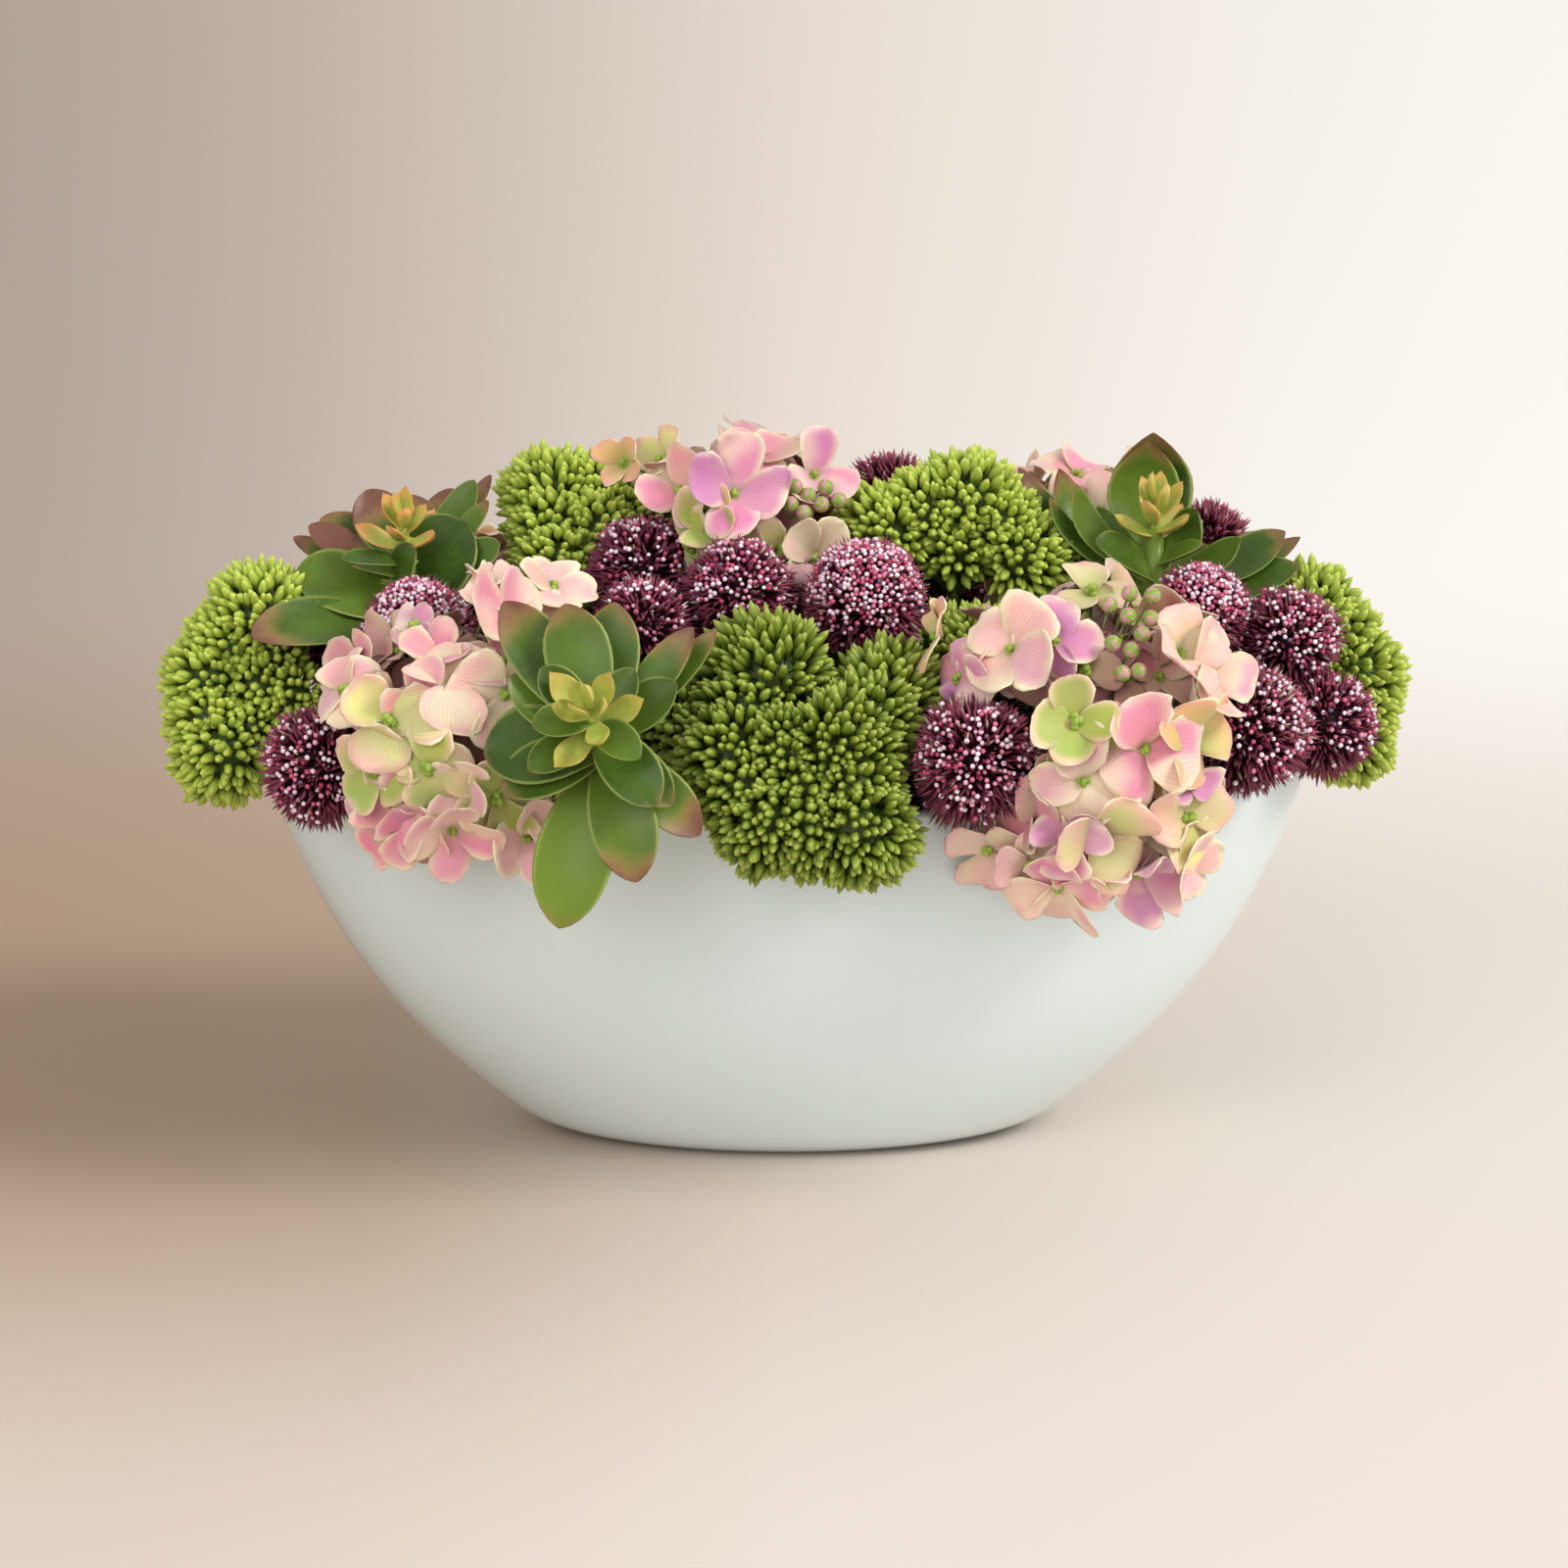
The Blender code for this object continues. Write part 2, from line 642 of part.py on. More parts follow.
def floret(radius, root, petals, dice):
    """Broad petals in one shallow cup, on a stalk that tapers to the root below.

    The edge is waved, and both faces are split into the same triangles.
    """
    sheet = Vector((0, 0, FLORET_THICKNESS))
    turn = 2 * math.pi / petals
    outline = []
    for petal in range(petals):
        heading = petal * turn
        lift = radius * (0.26 + dice.uniform(-0.12, 0.12))
        wave = radius * dice.uniform(-0.10, 0.10)
        length = radius * dice.uniform(0.94, 1.06)
        outline.append((heading - turn / 2, radius * 0.50, radius * 0.06))
        outline.append((heading - turn * PETAL_SHOULDER, length, lift + wave))
        outline.append((heading + turn * PETAL_SHOULDER, length, lift - wave))
    work = bmesh.new()
    top = [work.verts.new((r * math.cos(a), r * math.sin(a), z)) for a, r, z in outline]
    low = [work.verts.new(vertex.co - sheet) for vertex in top]
    corners = [(math.cos(a) * NECK_RADIUS, math.sin(a) * NECK_RADIUS, 0) for a, _, _ in outline[::3]]
    neck = [work.verts.new(Vector(corner) - sheet) for corner in corners]
    eye = work.verts.new((0, 0, 0))
    foot = work.verts.new((0, 0, -root))
    for petal in range(petals):
        after = (petal + 1) % petals
        valley, left, right = low[petal * 3 : petal * 3 + 3]
        work.faces.new((neck[petal], left, valley))
        work.faces.new((neck[petal], right, left))
        work.faces.new((neck[petal], neck[after], right))
        work.faces.new((neck[after], low[after * 3], right))
        work.faces.new((neck[petal], foot, neck[after]))
    for here in range(len(top)):
        after = (here + 1) % len(top)
        work.faces.new((eye, top[here], top[after]))
        work.faces.new((top[here], low[here], low[after]))
        work.faces.new((top[here], low[after], top[after]))
    return work


def pedicel(start, end, root_radius, tip_radius):
    """A three-sided stalk."""
    along = end - start
    work = bmesh.new()
    bmesh.ops.create_cone(
        work, cap_ends=True, segments=3, radius1=root_radius, radius2=tip_radius, depth=along.length
    )
    return mesh_from(placed(work, (start + end) / 2, along.normalized()), "pedicel")


def berry(centre):
    work = bmesh.new()
    bmesh.ops.create_icosphere(work, subdivisions=1, radius=BERRY_RADIUS)
    return mesh_from(placed(work, centre, Vector((0, 0, 1))), "berry")


def make_hydrangeas(group, holes, space):
    arrivals = {}
    for place, (centre, core, entry, _, _) in HYDRANGEAS.items():
        add_hole(entry, holes)
        space.add_core(f"hydrangea_{place}", mm(centre), core * MM)
    for place, (centre, core, entry, _, _) in HYDRANGEAS.items():
        arrivals[place] = make_stem(f"hydrangea_stem_{place}", entry, mm(centre), core * MM, group, space)

    def grow():
        dice = random.Random(SEED + 2)
        for place, (centre, core, _, florets, berries) in HYDRANGEAS.items():
            name = f"hydrangea_{place}"
            middle = mm(centre)
            work = bmesh.new()
            bmesh.ops.create_icosphere(work, subdivisions=1, radius=core * MM)
            body = mesh_from(placed(work, middle, arrivals[place]), name)
            pieces = []
            own_petals = []
            for right, up, out, radius in florets:
                step = seen(right, up, out)
                size = radius * FULLNESS * MM
                bloom = fitted_floret(space, name, middle, core, step, size, own_petals, dice)
                if bloom:
                    pieces.append(bloom)
                    own_petals.append(tree_of(bloom))
            for right, up, out in berries:
                step = seen(right, up, out)
                root = middle + step.normalized() * core * MM * 0.4
                fruit = berry(middle + step)
                stalk = pedicel(root, middle + step, 1.6 * MM, 1 * MM)
                if not (space.crosses(name, fruit) or space.crosses(name, stalk)):
                    pieces += [fruit, stalk]
            head = union(name, body, pieces, group, "petal_pink")
            space.add_solid(name, head.data)

    return grow


def fitted_floret(space, owner, middle, core, step, radius, own_petals, dice):
    """The floret at its place, or a little in or out or smaller where other petals are in its way."""
    facing = step.normalized()
    petals = 3 if len(own_petals) % 5 in (1, 3) else 4
    for share in (1, 0.93, 0.86, 0.7, 0.5):
        best = None
        for shift in (0, 3, -3, 6, -6, 9, -9, 12):
            spot = step + facing * shift * MM
            spin = dice.uniform(0, math.pi)
            bloom = floret(radius * share, spot.length - core * MM * 0.4, petals, dice)
            bmesh.ops.rotate(bloom, verts=bloom.verts, matrix=Matrix.Rotation(spin, 3, "Z"))
            mesh = mesh_from(placed(bloom, middle + spot, facing), "floret")
            if space.crosses(owner, mesh):
                continue
            tree = tree_of(mesh)
            cuts = sum(len(other.overlap(tree)) for other in own_petals)
            if best is None or cuts < best[0]:
                best = (cuts, mesh)
            if cuts == 0:
                return mesh
        if best and share < 0.9:
            return best[1]
    return None


def leaf(root, tip, towards, width, belly):
    """A fleshy pointed leaf from root to tip. Its upper face looks towards the given direction."""
    along = tip - root
    forward = along.normalized()
    normal = (towards - forward * towards.dot(forward)).normalized()
    side = forward.cross(normal)
    work = bmesh.new()
    rings = []
    for share, fullness in LEAF_STATIONS:
        middle = root + along * share + normal * (belly * 4 * share * (1 - share))
        half = side * (width * fullness / 2)
        thick = LEAF_THICKNESS * (1 - 0.4 * share)
        crest = middle + normal * thick * 0.2
        keel = middle - normal * thick * 0.8
        corners = (middle - half, crest, middle + half, keel)
        rings.append([work.verts.new(corner) for corner in corners])
    start = work.verts.new(root)
    point = work.verts.new(tip)
    lower, upper = rings
    for here in range(4):
        after = (here + 1) % 4
        work.faces.new((start, lower[after], lower[here]))
        work.faces.new((lower[here], lower[after], upper[after]))
        work.faces.new((lower[here], upper[after], upper[here]))
        work.faces.new((upper[here], upper[after], point))
    bmesh.ops.recalc_face_normals(work, faces=work.faces)
    return mesh_from(work, "leaf")


def fitted_leaf(space, owner, base, axis, inset, reach, share, width, belly, own_leaves):
    """The leaf from its place on the axis, moved along it or made shorter where others are in its way."""
    rise = axis.normalized()
    to_viewer = seen(0, 0.3, 1).normalized()
    best = None
    for scale in (1, 0.92, 0.84, 0.7):
        for slide in (0, 0.07, -0.07, 0.14, -0.14, 0.21):
            height = min(max(share + slide, 0), 0.66)
            root = base + axis * height
            tip = base + reach * scale
            outward = tip - root
            outward -= rise * outward.dot(rise)
            outward.normalize()
            towards = rise if reach.dot(to_viewer) < -20 * MM else rise + to_viewer * 0.8
            blade = leaf(root - outward * inset, tip, towards, width, belly)
            if space.crosses(owner, blade):
                continue
            tree = tree_of(leaf(root + outward * inset * 1.4, tip, towards, width, belly))
            cuts = sum(len(other.overlap(tree)) for other in own_leaves)
            if best is None or cuts < best[0]:
                best = (cuts, blade, tree)
        if best:
            own_leaves.append(best[2])
            return best[1]
    return None


def make_succulents(group, holes, space):
    """Each plant is two pieces by colour: the green stem and leaves, and the young yellow heart on top."""
    for place, (foot, growth, entry, leaves, heart) in SUCCULENTS.items():
        name = f"succulent_{place}"
        base = mm(foot)
        axis = seen(*growth)
        rise = axis.normalized()
        top = base + axis * 0.7
        add_hole(entry, holes)
        stem = tube("stem", stem_route(entry, base, rise), STEM_RADIUS, group, 1)
        body = evaluated_mesh(stem)
        bpy.data.objects.remove(stem)
        work = bmesh.new()
        length = axis.length * 0.7 + 4 * MM
        bmesh.ops.create_cone(
            work, cap_ends=True, segments=6, radius1=CROWN_RADIUS, radius2=CROWN_RADIUS * 0.7, depth=length
        )
        pieces = [mesh_from(placed(work, top - rise * length / 2, rise), "crown")]
        own_leaves = []
        for share, right, up, out, width, belly in leaves:
            reach = seen(right, up, out)
            blade = fitted_leaf(
                space, name, base, axis, CROWN_RADIUS * 0.7, reach, share, width * MM, belly * MM, own_leaves
            )
            if blade:
                pieces.append(blade)
        plant = union(name, body, pieces, group, "leaf_green")
        space.add_solid(name, plant.data)
        bud = top + rise * (HEART_RADIUS + SEAT_GAP)
        work = bmesh.new()
        bmesh.ops.create_icosphere(work, subdivisions=1, radius=HEART_RADIUS)
        bulb = mesh_from(placed(work, bud, rise), "bulb")
        young = []
        for share, right, up, out, width, belly in heart:
            tip = base + seen(right, up, out)
            for reach in (1, 0.85, 0.7):
                towards = rise + seen(0, 0, 1).normalized()
                blade = leaf(bud, bud + (tip - bud) * reach, towards, width * MM, belly * MM)
                if not space.crosses(f"{name}_heart", blade):
                    young.append(blade)
                    break
        centre = union(f"{name}_heart", bulb, young, group, "heart_yellow")
        space.add_solid(f"{name}_heart", centre.data)


def main():
    clear_scene()
    group = collection(COLLECTION)
    holes = collection("stem_holes")
    space = Space()
    bowl = make_bowl(group)
    space.add_solid("planter_bowl", evaluated_mesh(bowl))
    space.add_solid("floral_foam", foam_block())
    grow_sedums = make_sedums(group, holes, space)
    grow_alliums = make_alliums(group, holes, space)
    grow_hydrangeas = make_hydrangeas(group, holes, space)
    make_succulents(group, holes, space)
    grow_hydrangeas()
    grow_alliums()
    grow_sedums()
    make_foam(group, holes)


main()
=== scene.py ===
"""Looks of the hydrangea and succulent planter.

A glazed oval bowl filled with foam, planted with allium balls, sedum clusters, hydrangea heads and
succulents. Lengths in the tables are millimetres. A (right, up, out) step is as seen from the front
by someone who looks down at FRONT_TILT, with out towards the viewer.
"""

import itertools
import math
import random

import bpy
import numpy as np
from mathutils import Matrix, Vector
from mathutils.bvhtree import BVHTree


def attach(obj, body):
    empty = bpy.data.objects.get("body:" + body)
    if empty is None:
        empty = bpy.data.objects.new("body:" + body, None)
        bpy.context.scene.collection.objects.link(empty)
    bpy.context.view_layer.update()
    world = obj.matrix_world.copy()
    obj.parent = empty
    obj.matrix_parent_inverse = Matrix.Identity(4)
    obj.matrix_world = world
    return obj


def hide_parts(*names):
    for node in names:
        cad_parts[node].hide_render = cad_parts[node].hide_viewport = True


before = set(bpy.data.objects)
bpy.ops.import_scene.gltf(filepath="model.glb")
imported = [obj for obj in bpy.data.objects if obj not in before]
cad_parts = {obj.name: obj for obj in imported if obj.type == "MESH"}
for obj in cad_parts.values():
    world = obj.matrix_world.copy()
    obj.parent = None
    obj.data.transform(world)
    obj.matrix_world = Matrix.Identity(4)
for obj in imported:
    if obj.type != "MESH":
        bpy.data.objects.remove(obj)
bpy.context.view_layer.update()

MM = 0.001
FRONT_TILT = math.radians(15)

# Camera, as the planter was photographed.
CAMERA_TARGET = (-0.9, 0, 163.5)
CAMERA_DISTANCE = 2400
CAMERA_LENS = 120

# Bowl: half length and height, rim to foot, then its wall and its rounded lip.
BOWL_OUTLINE = (
    (240, 180), (235, 160), (222, 127), (200, 87), (171, 51), (137, 20), (116, 6), (92, 0),
)
BOWL_DEPTH_SHARE = 0.475
BOWL_SIDES = 128
BOWL_STEPS = 4
BOWL_WALL = 6
LIP_ROUND = 2.7
LIP_SEGMENTS = 5
LIP_ANGLE = math.radians(60)

# Height of the foam's top, and the moss on it: half its length and depth, how high it swells, and how
# far its underside lies below the foam's top.
FOAM_TOP = 174
MOSS_HALVES = (226, 102)
MOSS_RINGS = 12
MOSS_SIDES = 56
MOSS_SWELL = 5
MOSS_UNDER = 3
MOSS_SEED = 7

# Stems, which narrow by a share of their radius, and the stalks that fork from them.
STEM_RADIUS = 2.4
STEM_BASE = FOAM_TOP - 33.7
STEM_RISE = 7
STEM_SIDES = 8
STEM_STEPS = 9
STEM_TAPER = 0.12
STALK_RADII = (2.0, 1.6, 1.3)
STALK_SIDES = 6

# Cores: the small balls that flowers stand on, lumpy, and bare where the stem comes in.
GROWING = ("out", "reach", "share", "patch", "kind", "tone", "along")
CORE_SIDES = 16
CORE_RINGS = 12
CORE_LUMPS = (0.04, 0.03)
CORE_MARGIN = 1.08
BARE_BELOW = -0.85
BARE_FADE = 0.15

# Room for the heads: how near petals come to a ball or umbel, and what stays clear of the bowl.
ROOM_STEPS = 8
ROOM_SHARE = 0.93
PETAL_CLEARANCE = 2
HEAD_CLEARANCE = 1.5

# Flowers on a core: tries for each place, and the ranges of their height, girth and length.
TRIES = 5.0
HEIGHT_RANGE = (0.86, 1.0)
GIRTH_RANGE = (0.82, 1.18)
LENGTH_RANGE = (0.80, 1.10)

# Allium balls open from the top towards the side that they are seen from, with a ragged edge.
ALLIUM_CORE_SHARE = 0.58
BALL_MINGLE = -0.3
OPENED_TURN = 0.9
OPENED_RISE = 0.25
OPENED_FROM = 0.36
OPENED_RAGGED = 0.22
BACK_ROW = 60
# Each ball: centre, radius, stem entry, and how much of it is covered in open flower beads.
ALLIUMS = (
    ((-164, -40, 241), 28, (-150, -28), 1.00),
    ((-204, -86, 195), 28, (-166, -50), 0.50),
    ((-65, 5, 262), 26, (-62, 6), 0.45),
    ((-64, -42, 246), 24, (-60, -34), 0.30),
    ((-21, -27, 258), 27, (-20, -20), 0.60),
    ((36, -30, 256), 29, (34, -22), 1.00),
    ((50, 108, 272), 25, (46, 64), 0.20),
    ((82, -119, 206), 30, (78, -70), 0.50),
    ((196, 85, 254), 25, (166, 46), 0.20),
    ((186, -26, 248), 25, (174, -16), 1.00),
    ((226, -24, 237), 25, (197, 0), 0.70),
    ((203, -74, 208), 31, (168, -50), 0.45),
    ((242, -36, 201), 25, (200, -26), 0.45),
    ((-84, 122, 220), 30, (-74, 70), 0.80),
    ((74, 132, 220), 30, (70, 72), 0.70),
    ((-208, 64, 222), 29, (-168, 44), 0.80),
)

# Sedum umbels, which grow a little into each other, with smaller ones between them and one inside.
SEDUM_CORE_SHARE = 0.50
UMBEL_SPREAD = 0.2
UMBEL_MINGLE = 4
UMBELS_MEET = 52
UMBELS_APART = 11
UMBEL_STEP = 2
SMALLER_UMBEL = 0.95
INNER_UMBEL = 24
INNER_UMBEL_SHARE = 0.25
# Painted light: how much lighter each cluster's buds are painted than the front one's, as though more lit.
CLUSTER_PAINTED_LIGHT = {
    "left_end": 0.90, "back_left": 0.85, "front": 0.05, "back_right": 0.85, "right_end": 0.75,
    "middle": 0.50, "back_centre": 0.60,
}
# Each cluster: fork, stem entry, and each umbel's centre and radius.
SEDUMS = {
    "left_end": (
        (-222, -8, 206), (-196, 0),
        ((-240, 6, 240, 29), (-261, -4, 213, 27), (-256, -22, 184, 27), (-226, -12, 208, 20)),
    ),
    "back_left": (
        (-92, 50, 246), (-88, 44),
        ((-109, 62, 284, 28), (-105, 32, 258, 26), (-70, 62, 281, 26)),
    ),
    "front": (
        (12, -92, 200), (8, -72),
        (
            (-9, -82, 233, 34), (45, -82, 223, 31), (24, -117, 208, 33),
            (-24, -113, 207, 28), (-8, -134, 182, 27), (31, -137, 180, 30), (-46, -92, 212, 22),
        ),
    ),
    "back_right": (
        (78, 34, 250), (74, 32),
        ((83, 40, 286, 29), (45, 30, 274, 27), (110, 26, 264, 26)),
    ),
    "right_end": (
        (228, 22, 208), (196, 22),
        ((240, 30, 236, 28), (262, 20, 209, 27), (258, 6, 184, 25)),
    ),
    "middle": (
        (86, -4, 198), (86, -4),
        ((106, -24, 224, 31), (66, -2, 222, 30), (128, 16, 214, 29)),
    ),
    "back_centre": (
        (0, 100, 206), (0, 82),
        ((4, 106, 242, 31), (-30, 122, 208, 31), (28, 124, 203, 30)),
    ),
}

# Hydrangea florets: how full they are, and the smaller ones that fill a head between
# and behind the listed ones.
FULLNESS = 1.16
FILLING_FLORETS = 22
FILLING_DEPTHS = (30, 42)
FLORETS_MEET = 40
FLORETS_APART = 13
FILLING_NEAR = math.cos(math.radians(22))
SMALL_RADII = (15, 19)
FILLING_RADII = (18, 24)
FILLING_COLOURINGS = ("pink", "blush", "mauve", "green", "blush", "lemon", "pink", "cream")
KNOB_GROWTH = {"green": 1.45, "lemon": 1.25, "orange": 1.2}
FLORET_THICKNESS = 0.7
PETAL_ROWS = (7, 9)
PETAL_COLUMNS = (6, 8)
PETAL_CUPS = ((0.15, -0.05), (0.45, -0.25), (0.75, -0.25), (0.35, -0.55), (0.60, -0.05))
KNOB_RADIUS = 2.2
BERRY_RADIUS = 3.8
# Florets turn to the viewer and lean at random. Deep in the head their colour is darkened with painted
# shade.
VIEWER_TURN = 0.4
FLORET_LEAN = 0.42
PAINTED_SHADE_BELOW = 4
PAINTED_SHADE_FADE = 12
# Each head: centre, stem entry, florets (right, up, out, radius, colouring) and berries.
HYDRANGEAS = {
    "front_left": (
        (-146, -74, 209), (-136, -62),
        (
            (-46, 16, 38, 17, "blush"), (4, 20, 54, 20, "cream"), (-16, 44, 36, 11, "mauve"),
            (-25, 3, 56, 22, "lemon"), (-33, -18, 46, 19, "green"), (-8, -17, 58, 18, "green"),
            (24, 14, 52, 21, "blush"), (20, -30, 48, 19, "green"), (-28, -42, 36, 19, "pink"),
            (1, -44, 42, 20, "pink"), (32, -48, 32, 19, "blush"), (24, 45, 28, 21, "pink"),
            (42, 62, 2, 17, "blush"), (-36, 28, 14, 15, "pink"), (-12, 26, -2, 18, "pink"),
            (24, 34, -24, 20, "blush"), (44, -30, 30, 18, "mauve"), (16, 62, 4, 12, "pink"),
        ),
        ((-12, -56, 34), (-4, -60, 32)),
    ),
    "front_right": (
        (128, -82, 210), (120, -62),
        (
            (-4, 3, 60, 18, "green"), (6, -42, 46, 21, "lemon"), (46, -38, 38, 20, "lemon"),
            (46, -6, 44, 18, "orange"), (-60, 40, 14, 18, "orange"), (-30, 34, 42, 21, "blush"),
            (6, 60, 22, 15, "lemon"), (-12, 38, 46, 19, "mauve"), (26, -8, 56, 22, "pink"),
            (0, -22, 56, 22, "blush"), (42, 32, 40, 18, "cream"), (56, 24, 26, 20, "pink"),
            (-10, -68, 34, 21, "pink"), (-40, -52, 26, 18, "cream"), (24, -61, 30, 18, "mauve"),
            (-52, 22, 28, 18, "mauve"), (30, 46, -6, 24, "pink"), (-22, 44, -4, 24, "mauve"),
            (58, 16, -10, 20, "blush"), (18, 38, 26, 17, "mauve"), (34, 22, 34, 16, "pink"),
            (2, 26, 44, 15, "lemon"), (-24, -30, 40, 17, "pink"), (-6, -48, 44, 16, "mauve"),
            (-22, -58, 32, 15, "cream"), (46, -58, 30, 16, "blush"),
            (32, -26, 36, 18, "blush"), (26, -48, 34, 16, "pink"), (-30, -46, 28, 15, "blush"),
            (4, -62, 32, 15, "pink"), (44, -46, 28, 14, "blush"), (36, -54, 22, 16, "mauve"),
        ),
        (
            (12, 54, 44), (21, 59, 42), (31, 58, 40), (20, 49, 46), (30, 48, 44), (13, 37, 52),
            (21, 34, 52), (26, 41, 48), (24, 25, 55), (17, 24, 56),
        ),
    ),
    "back_middle": (
        (-20, 34, 273), (-18, 34),
        (
            (-22, -6, 42, 15, "green"), (4, -8, 46, 16, "green"), (32, -12, 36, 17, "blush"),
            (-28, 18, 34, 16, "pink"), (-4, 16, 44, 22, "mauve"), (6, 32, 28, 17, "pink"),
            (32, 26, 20, 18, "mauve"), (-36, 32, 8, 15, "lemon"), (46, 14, 6, 14, "mauve"),
            (-53, 32, 14, 11, "orange"), (-24, 22, -36, 20, "pink"), (14, 24, -38, 21, "cream"),
            (40, 0, -26, 19, "pink"), (-4, -6, -52, 20, "blush"),
        ),
        (
            (22, 12, 42), (28, 8, 42), (30, 16, 38), (36, 12, 38), (38, 20, 34), (44, 14, 34), (24, 20, 38),
        ),
    ),
    "back_right": (
        (144, 84, 243), (130, 58),
        (
            (-8, 46, 6, 20, "pink"), (18, 36, 4, 19, "pink"), (-26, 38, -18, 19, "blush"),
            (8, 38, -28, 20, "pink"), (34, 16, -18, 19, "mauve"), (-38, 4, -22, 19, "lemon"),
            (-14, 14, -46, 20, "blush"), (18, 4, -48, 20, "pink"), (40, -14, -34, 19, "cream"),
            (-34, -24, -42, 19, "pink"), (-4, -26, -52, 20, "green"),
        ),
        (),
    ),
    "back_left": (
        (-142, 90, 208), (-130, 60),
        (
            (-14, 44, -10, 20, "pink"), (16, 42, -12, 20, "blush"), (-40, 26, -10, 19, "mauve"),
            (38, 26, -16, 18, "pink"), (-4, 26, -44, 20, "cream"), (-34, 8, -38, 20, "lemon"),
            (28, 6, -42, 19, "pink"), (-14, -10, -54, 20, "blush"), (12, -30, -50, 19, "green"),
            (-38, -26, -42, 19, "pink"),
        ),
        (),
    ),
}

# Petal colourings: body, margin, and how much violet and green wash over the body.
COLOURINGS = {
    "pink": ((0.84, 0.33, 0.40), (0.92, 0.72, 0.50), 0.35, 0.05),
    "blush": ((0.90, 0.50, 0.48), (0.94, 0.82, 0.54), 0.25, 0.12),
    "cream": ((0.90, 0.74, 0.50), (0.92, 0.50, 0.48), 0.20, 0.20),
    "mauve": ((0.76, 0.30, 0.46), (0.92, 0.74, 0.56), 0.90, 0.05),
    "lemon": ((0.76, 0.70, 0.30), (0.90, 0.48, 0.42), 0.30, 0.60),
    "green": ((0.40, 0.50, 0.11), (0.92, 0.60, 0.44), 0.00, 0.90),
    "orange": ((0.76, 0.50, 0.22), (0.90, 0.44, 0.30), 0.05, 0.65),
}

# Succulent leaves and the crown that they clasp.
LEAF_THICKNESS = 4.2
LEAF_FULLNESS = 1.18
LEAF_STEPS = 16
LEAF_SIDES = 14
LEAF_BROADEST = 0.60
CROWN_RADIUS = 5.5
CROWN_RADII = (2.6, CROWN_RADIUS, CROWN_RADIUS * 0.9, CROWN_RADIUS * 0.7)
CROWN_SIDES = 12
LEAVES_TOP = 0.66
# Leaves that reach back face up, the others the viewer. A leaf that hangs down is lighter.
BACK_LEAF = -20
HANGING_LEAF = -60
HANGING_TONE = 1.6
# Each plant: foot, growing tip (right, up, out), stem entry, and leaves. A leaf is (place along the stem
# from foot 0 to tip 1, right, up, out, width, belly), its tip measured from the foot.
SUCCULENTS = {
    "front": (
        (-76, -132, 211), (-11, 25, 43), (-76, -80),
        (
            (0.45, -46, 67, 8, 23, -6), (0.5, -19, 66, 12, 25, -5), (0.4, 2, 67, 0, 23, -5),
            (0.3, 36, 56, 5, 15, -4), (0.22, 46, 55, -1, 12, -4), (0.35, 29, 32, 18, 18, -3),
            (0.15, 27, -21, 22, 18, 7), (0.05, 39, -34, 12, 20, 7), (0.35, 21, -21, 32, 21, 5),
            (0.1, 12, -54, 18, 25, 7), (0.0, -22, -74, 8, 30, 9), (0.2, -54, 1, 15, 32, 3),
            (0.12, -46, -15, 20, 23, 4), (0.4, -34, -6, 32, 15, 2), (0.33, -43, 35, 10, 21, -3),
            (0.6, -32, 13, 38, 14, 2), (0.62, -29, 38, 28, 15, -2), (0.5, 11, 38, 22, 14, -2),
            (0.5, 14, -1, 42, 14, 3),
        ),
    ),
    "left": (
        (-174, 16, 250), (0, 30, 12), (-150, 14),
        (
            (-0.4, -50, 8, 10, 30, 5), (-0.6, -66, -22, 46, 26, 7), (0.25, -45, 31, -5, 15, -3),
            (0.1, -53, 26, -14, 11, -3), (0.3, -40, 35, -13, 23, -4), (0.4, -19, 48, -15, 22, -4),
            (0.4, 1, 46, -20, 24, -4), (0.3, 20, 49, -24, 16, -4), (0.3, 31, 52, -9, 14, -4),
            (0.2, 38, 55, -18, 9, -4), (0.2, 38, 42, 2, 10, -3), (-0.5, 27, 32, 4, 35, 9),
            (-0.4, 44, 22, 14, 19, 4), (-0.1, 6, 20, 20, 18, 5), (0.4, -27, 14, 30, 9, 2),
            (0.2, -30, 22, -44, 24, -4), (0.15, 12, 20, -48, 24, -4), (0.1, 36, 12, -32, 22, -3),
        ),
    ),
    "right": (
        (168, 12, 246), (1, 46, 5), (150, 14),
        (
            (0.3, 1, 79, -14, 33, -5), (0.35, -2, 74, -5, 29, -5), (0.1, -61, 63, -14, 16, -5),
            (0.2, -43, 62, -6, 16, -5), (0.2, -36, 54, 8, 14, -4), (0.1, -48, 48, 8, 9, -3),
            (0.3, -26, 44, -2, 16, -3), (0.2, -28, 27, 22, 18, 4), (0.1, 61, 33, -5, 20, -4),
            (0.05, 69, 31, -16, 12, -4), (0.15, 39, 29, 12, 15, -3), (0.05, 67, 17, 2, 21, -3),
            (0.4, 19, 42, 12, 19, -3), (0.35, 21, 26, 20, 9, 2), (0.2, -20, 36, -44, 26, -4),
            (0.15, 24, 30, -44, 26, -4), (0.05, -50, 26, -26, 20, -3),
        ),
    ),
}
# How far each leaf is tinted from its tip down, in the order of the leaves.
PLUM_TIPS = {
    "front": (
        0.9, 0.9, 0.7, 1.1, 0.6, 0.4, 0.4, 1.2, 0.3, 1.1, 0.3, 0.4, 0.6, 0.3, 0.3, 0.2, 0.2, 0.3, 0.2,
    ),
    "left": (0.2, 1.0, 2.6, 0.9, 0.9, 1.9, 0.9, 1.3, 0.2, 1.2, 0.7, 0.2, 0.2, 0.2, 0.2, 0.6, 0.6, 0.6),
    "right": (0.9, 0.8, 1.2, 1.0, 0.5, 0.6, 0.3, 0.2, 0.8, 1.1, 0.2, 0.3, 0.2, 0.2, 0.6, 0.6, 0.9),
}
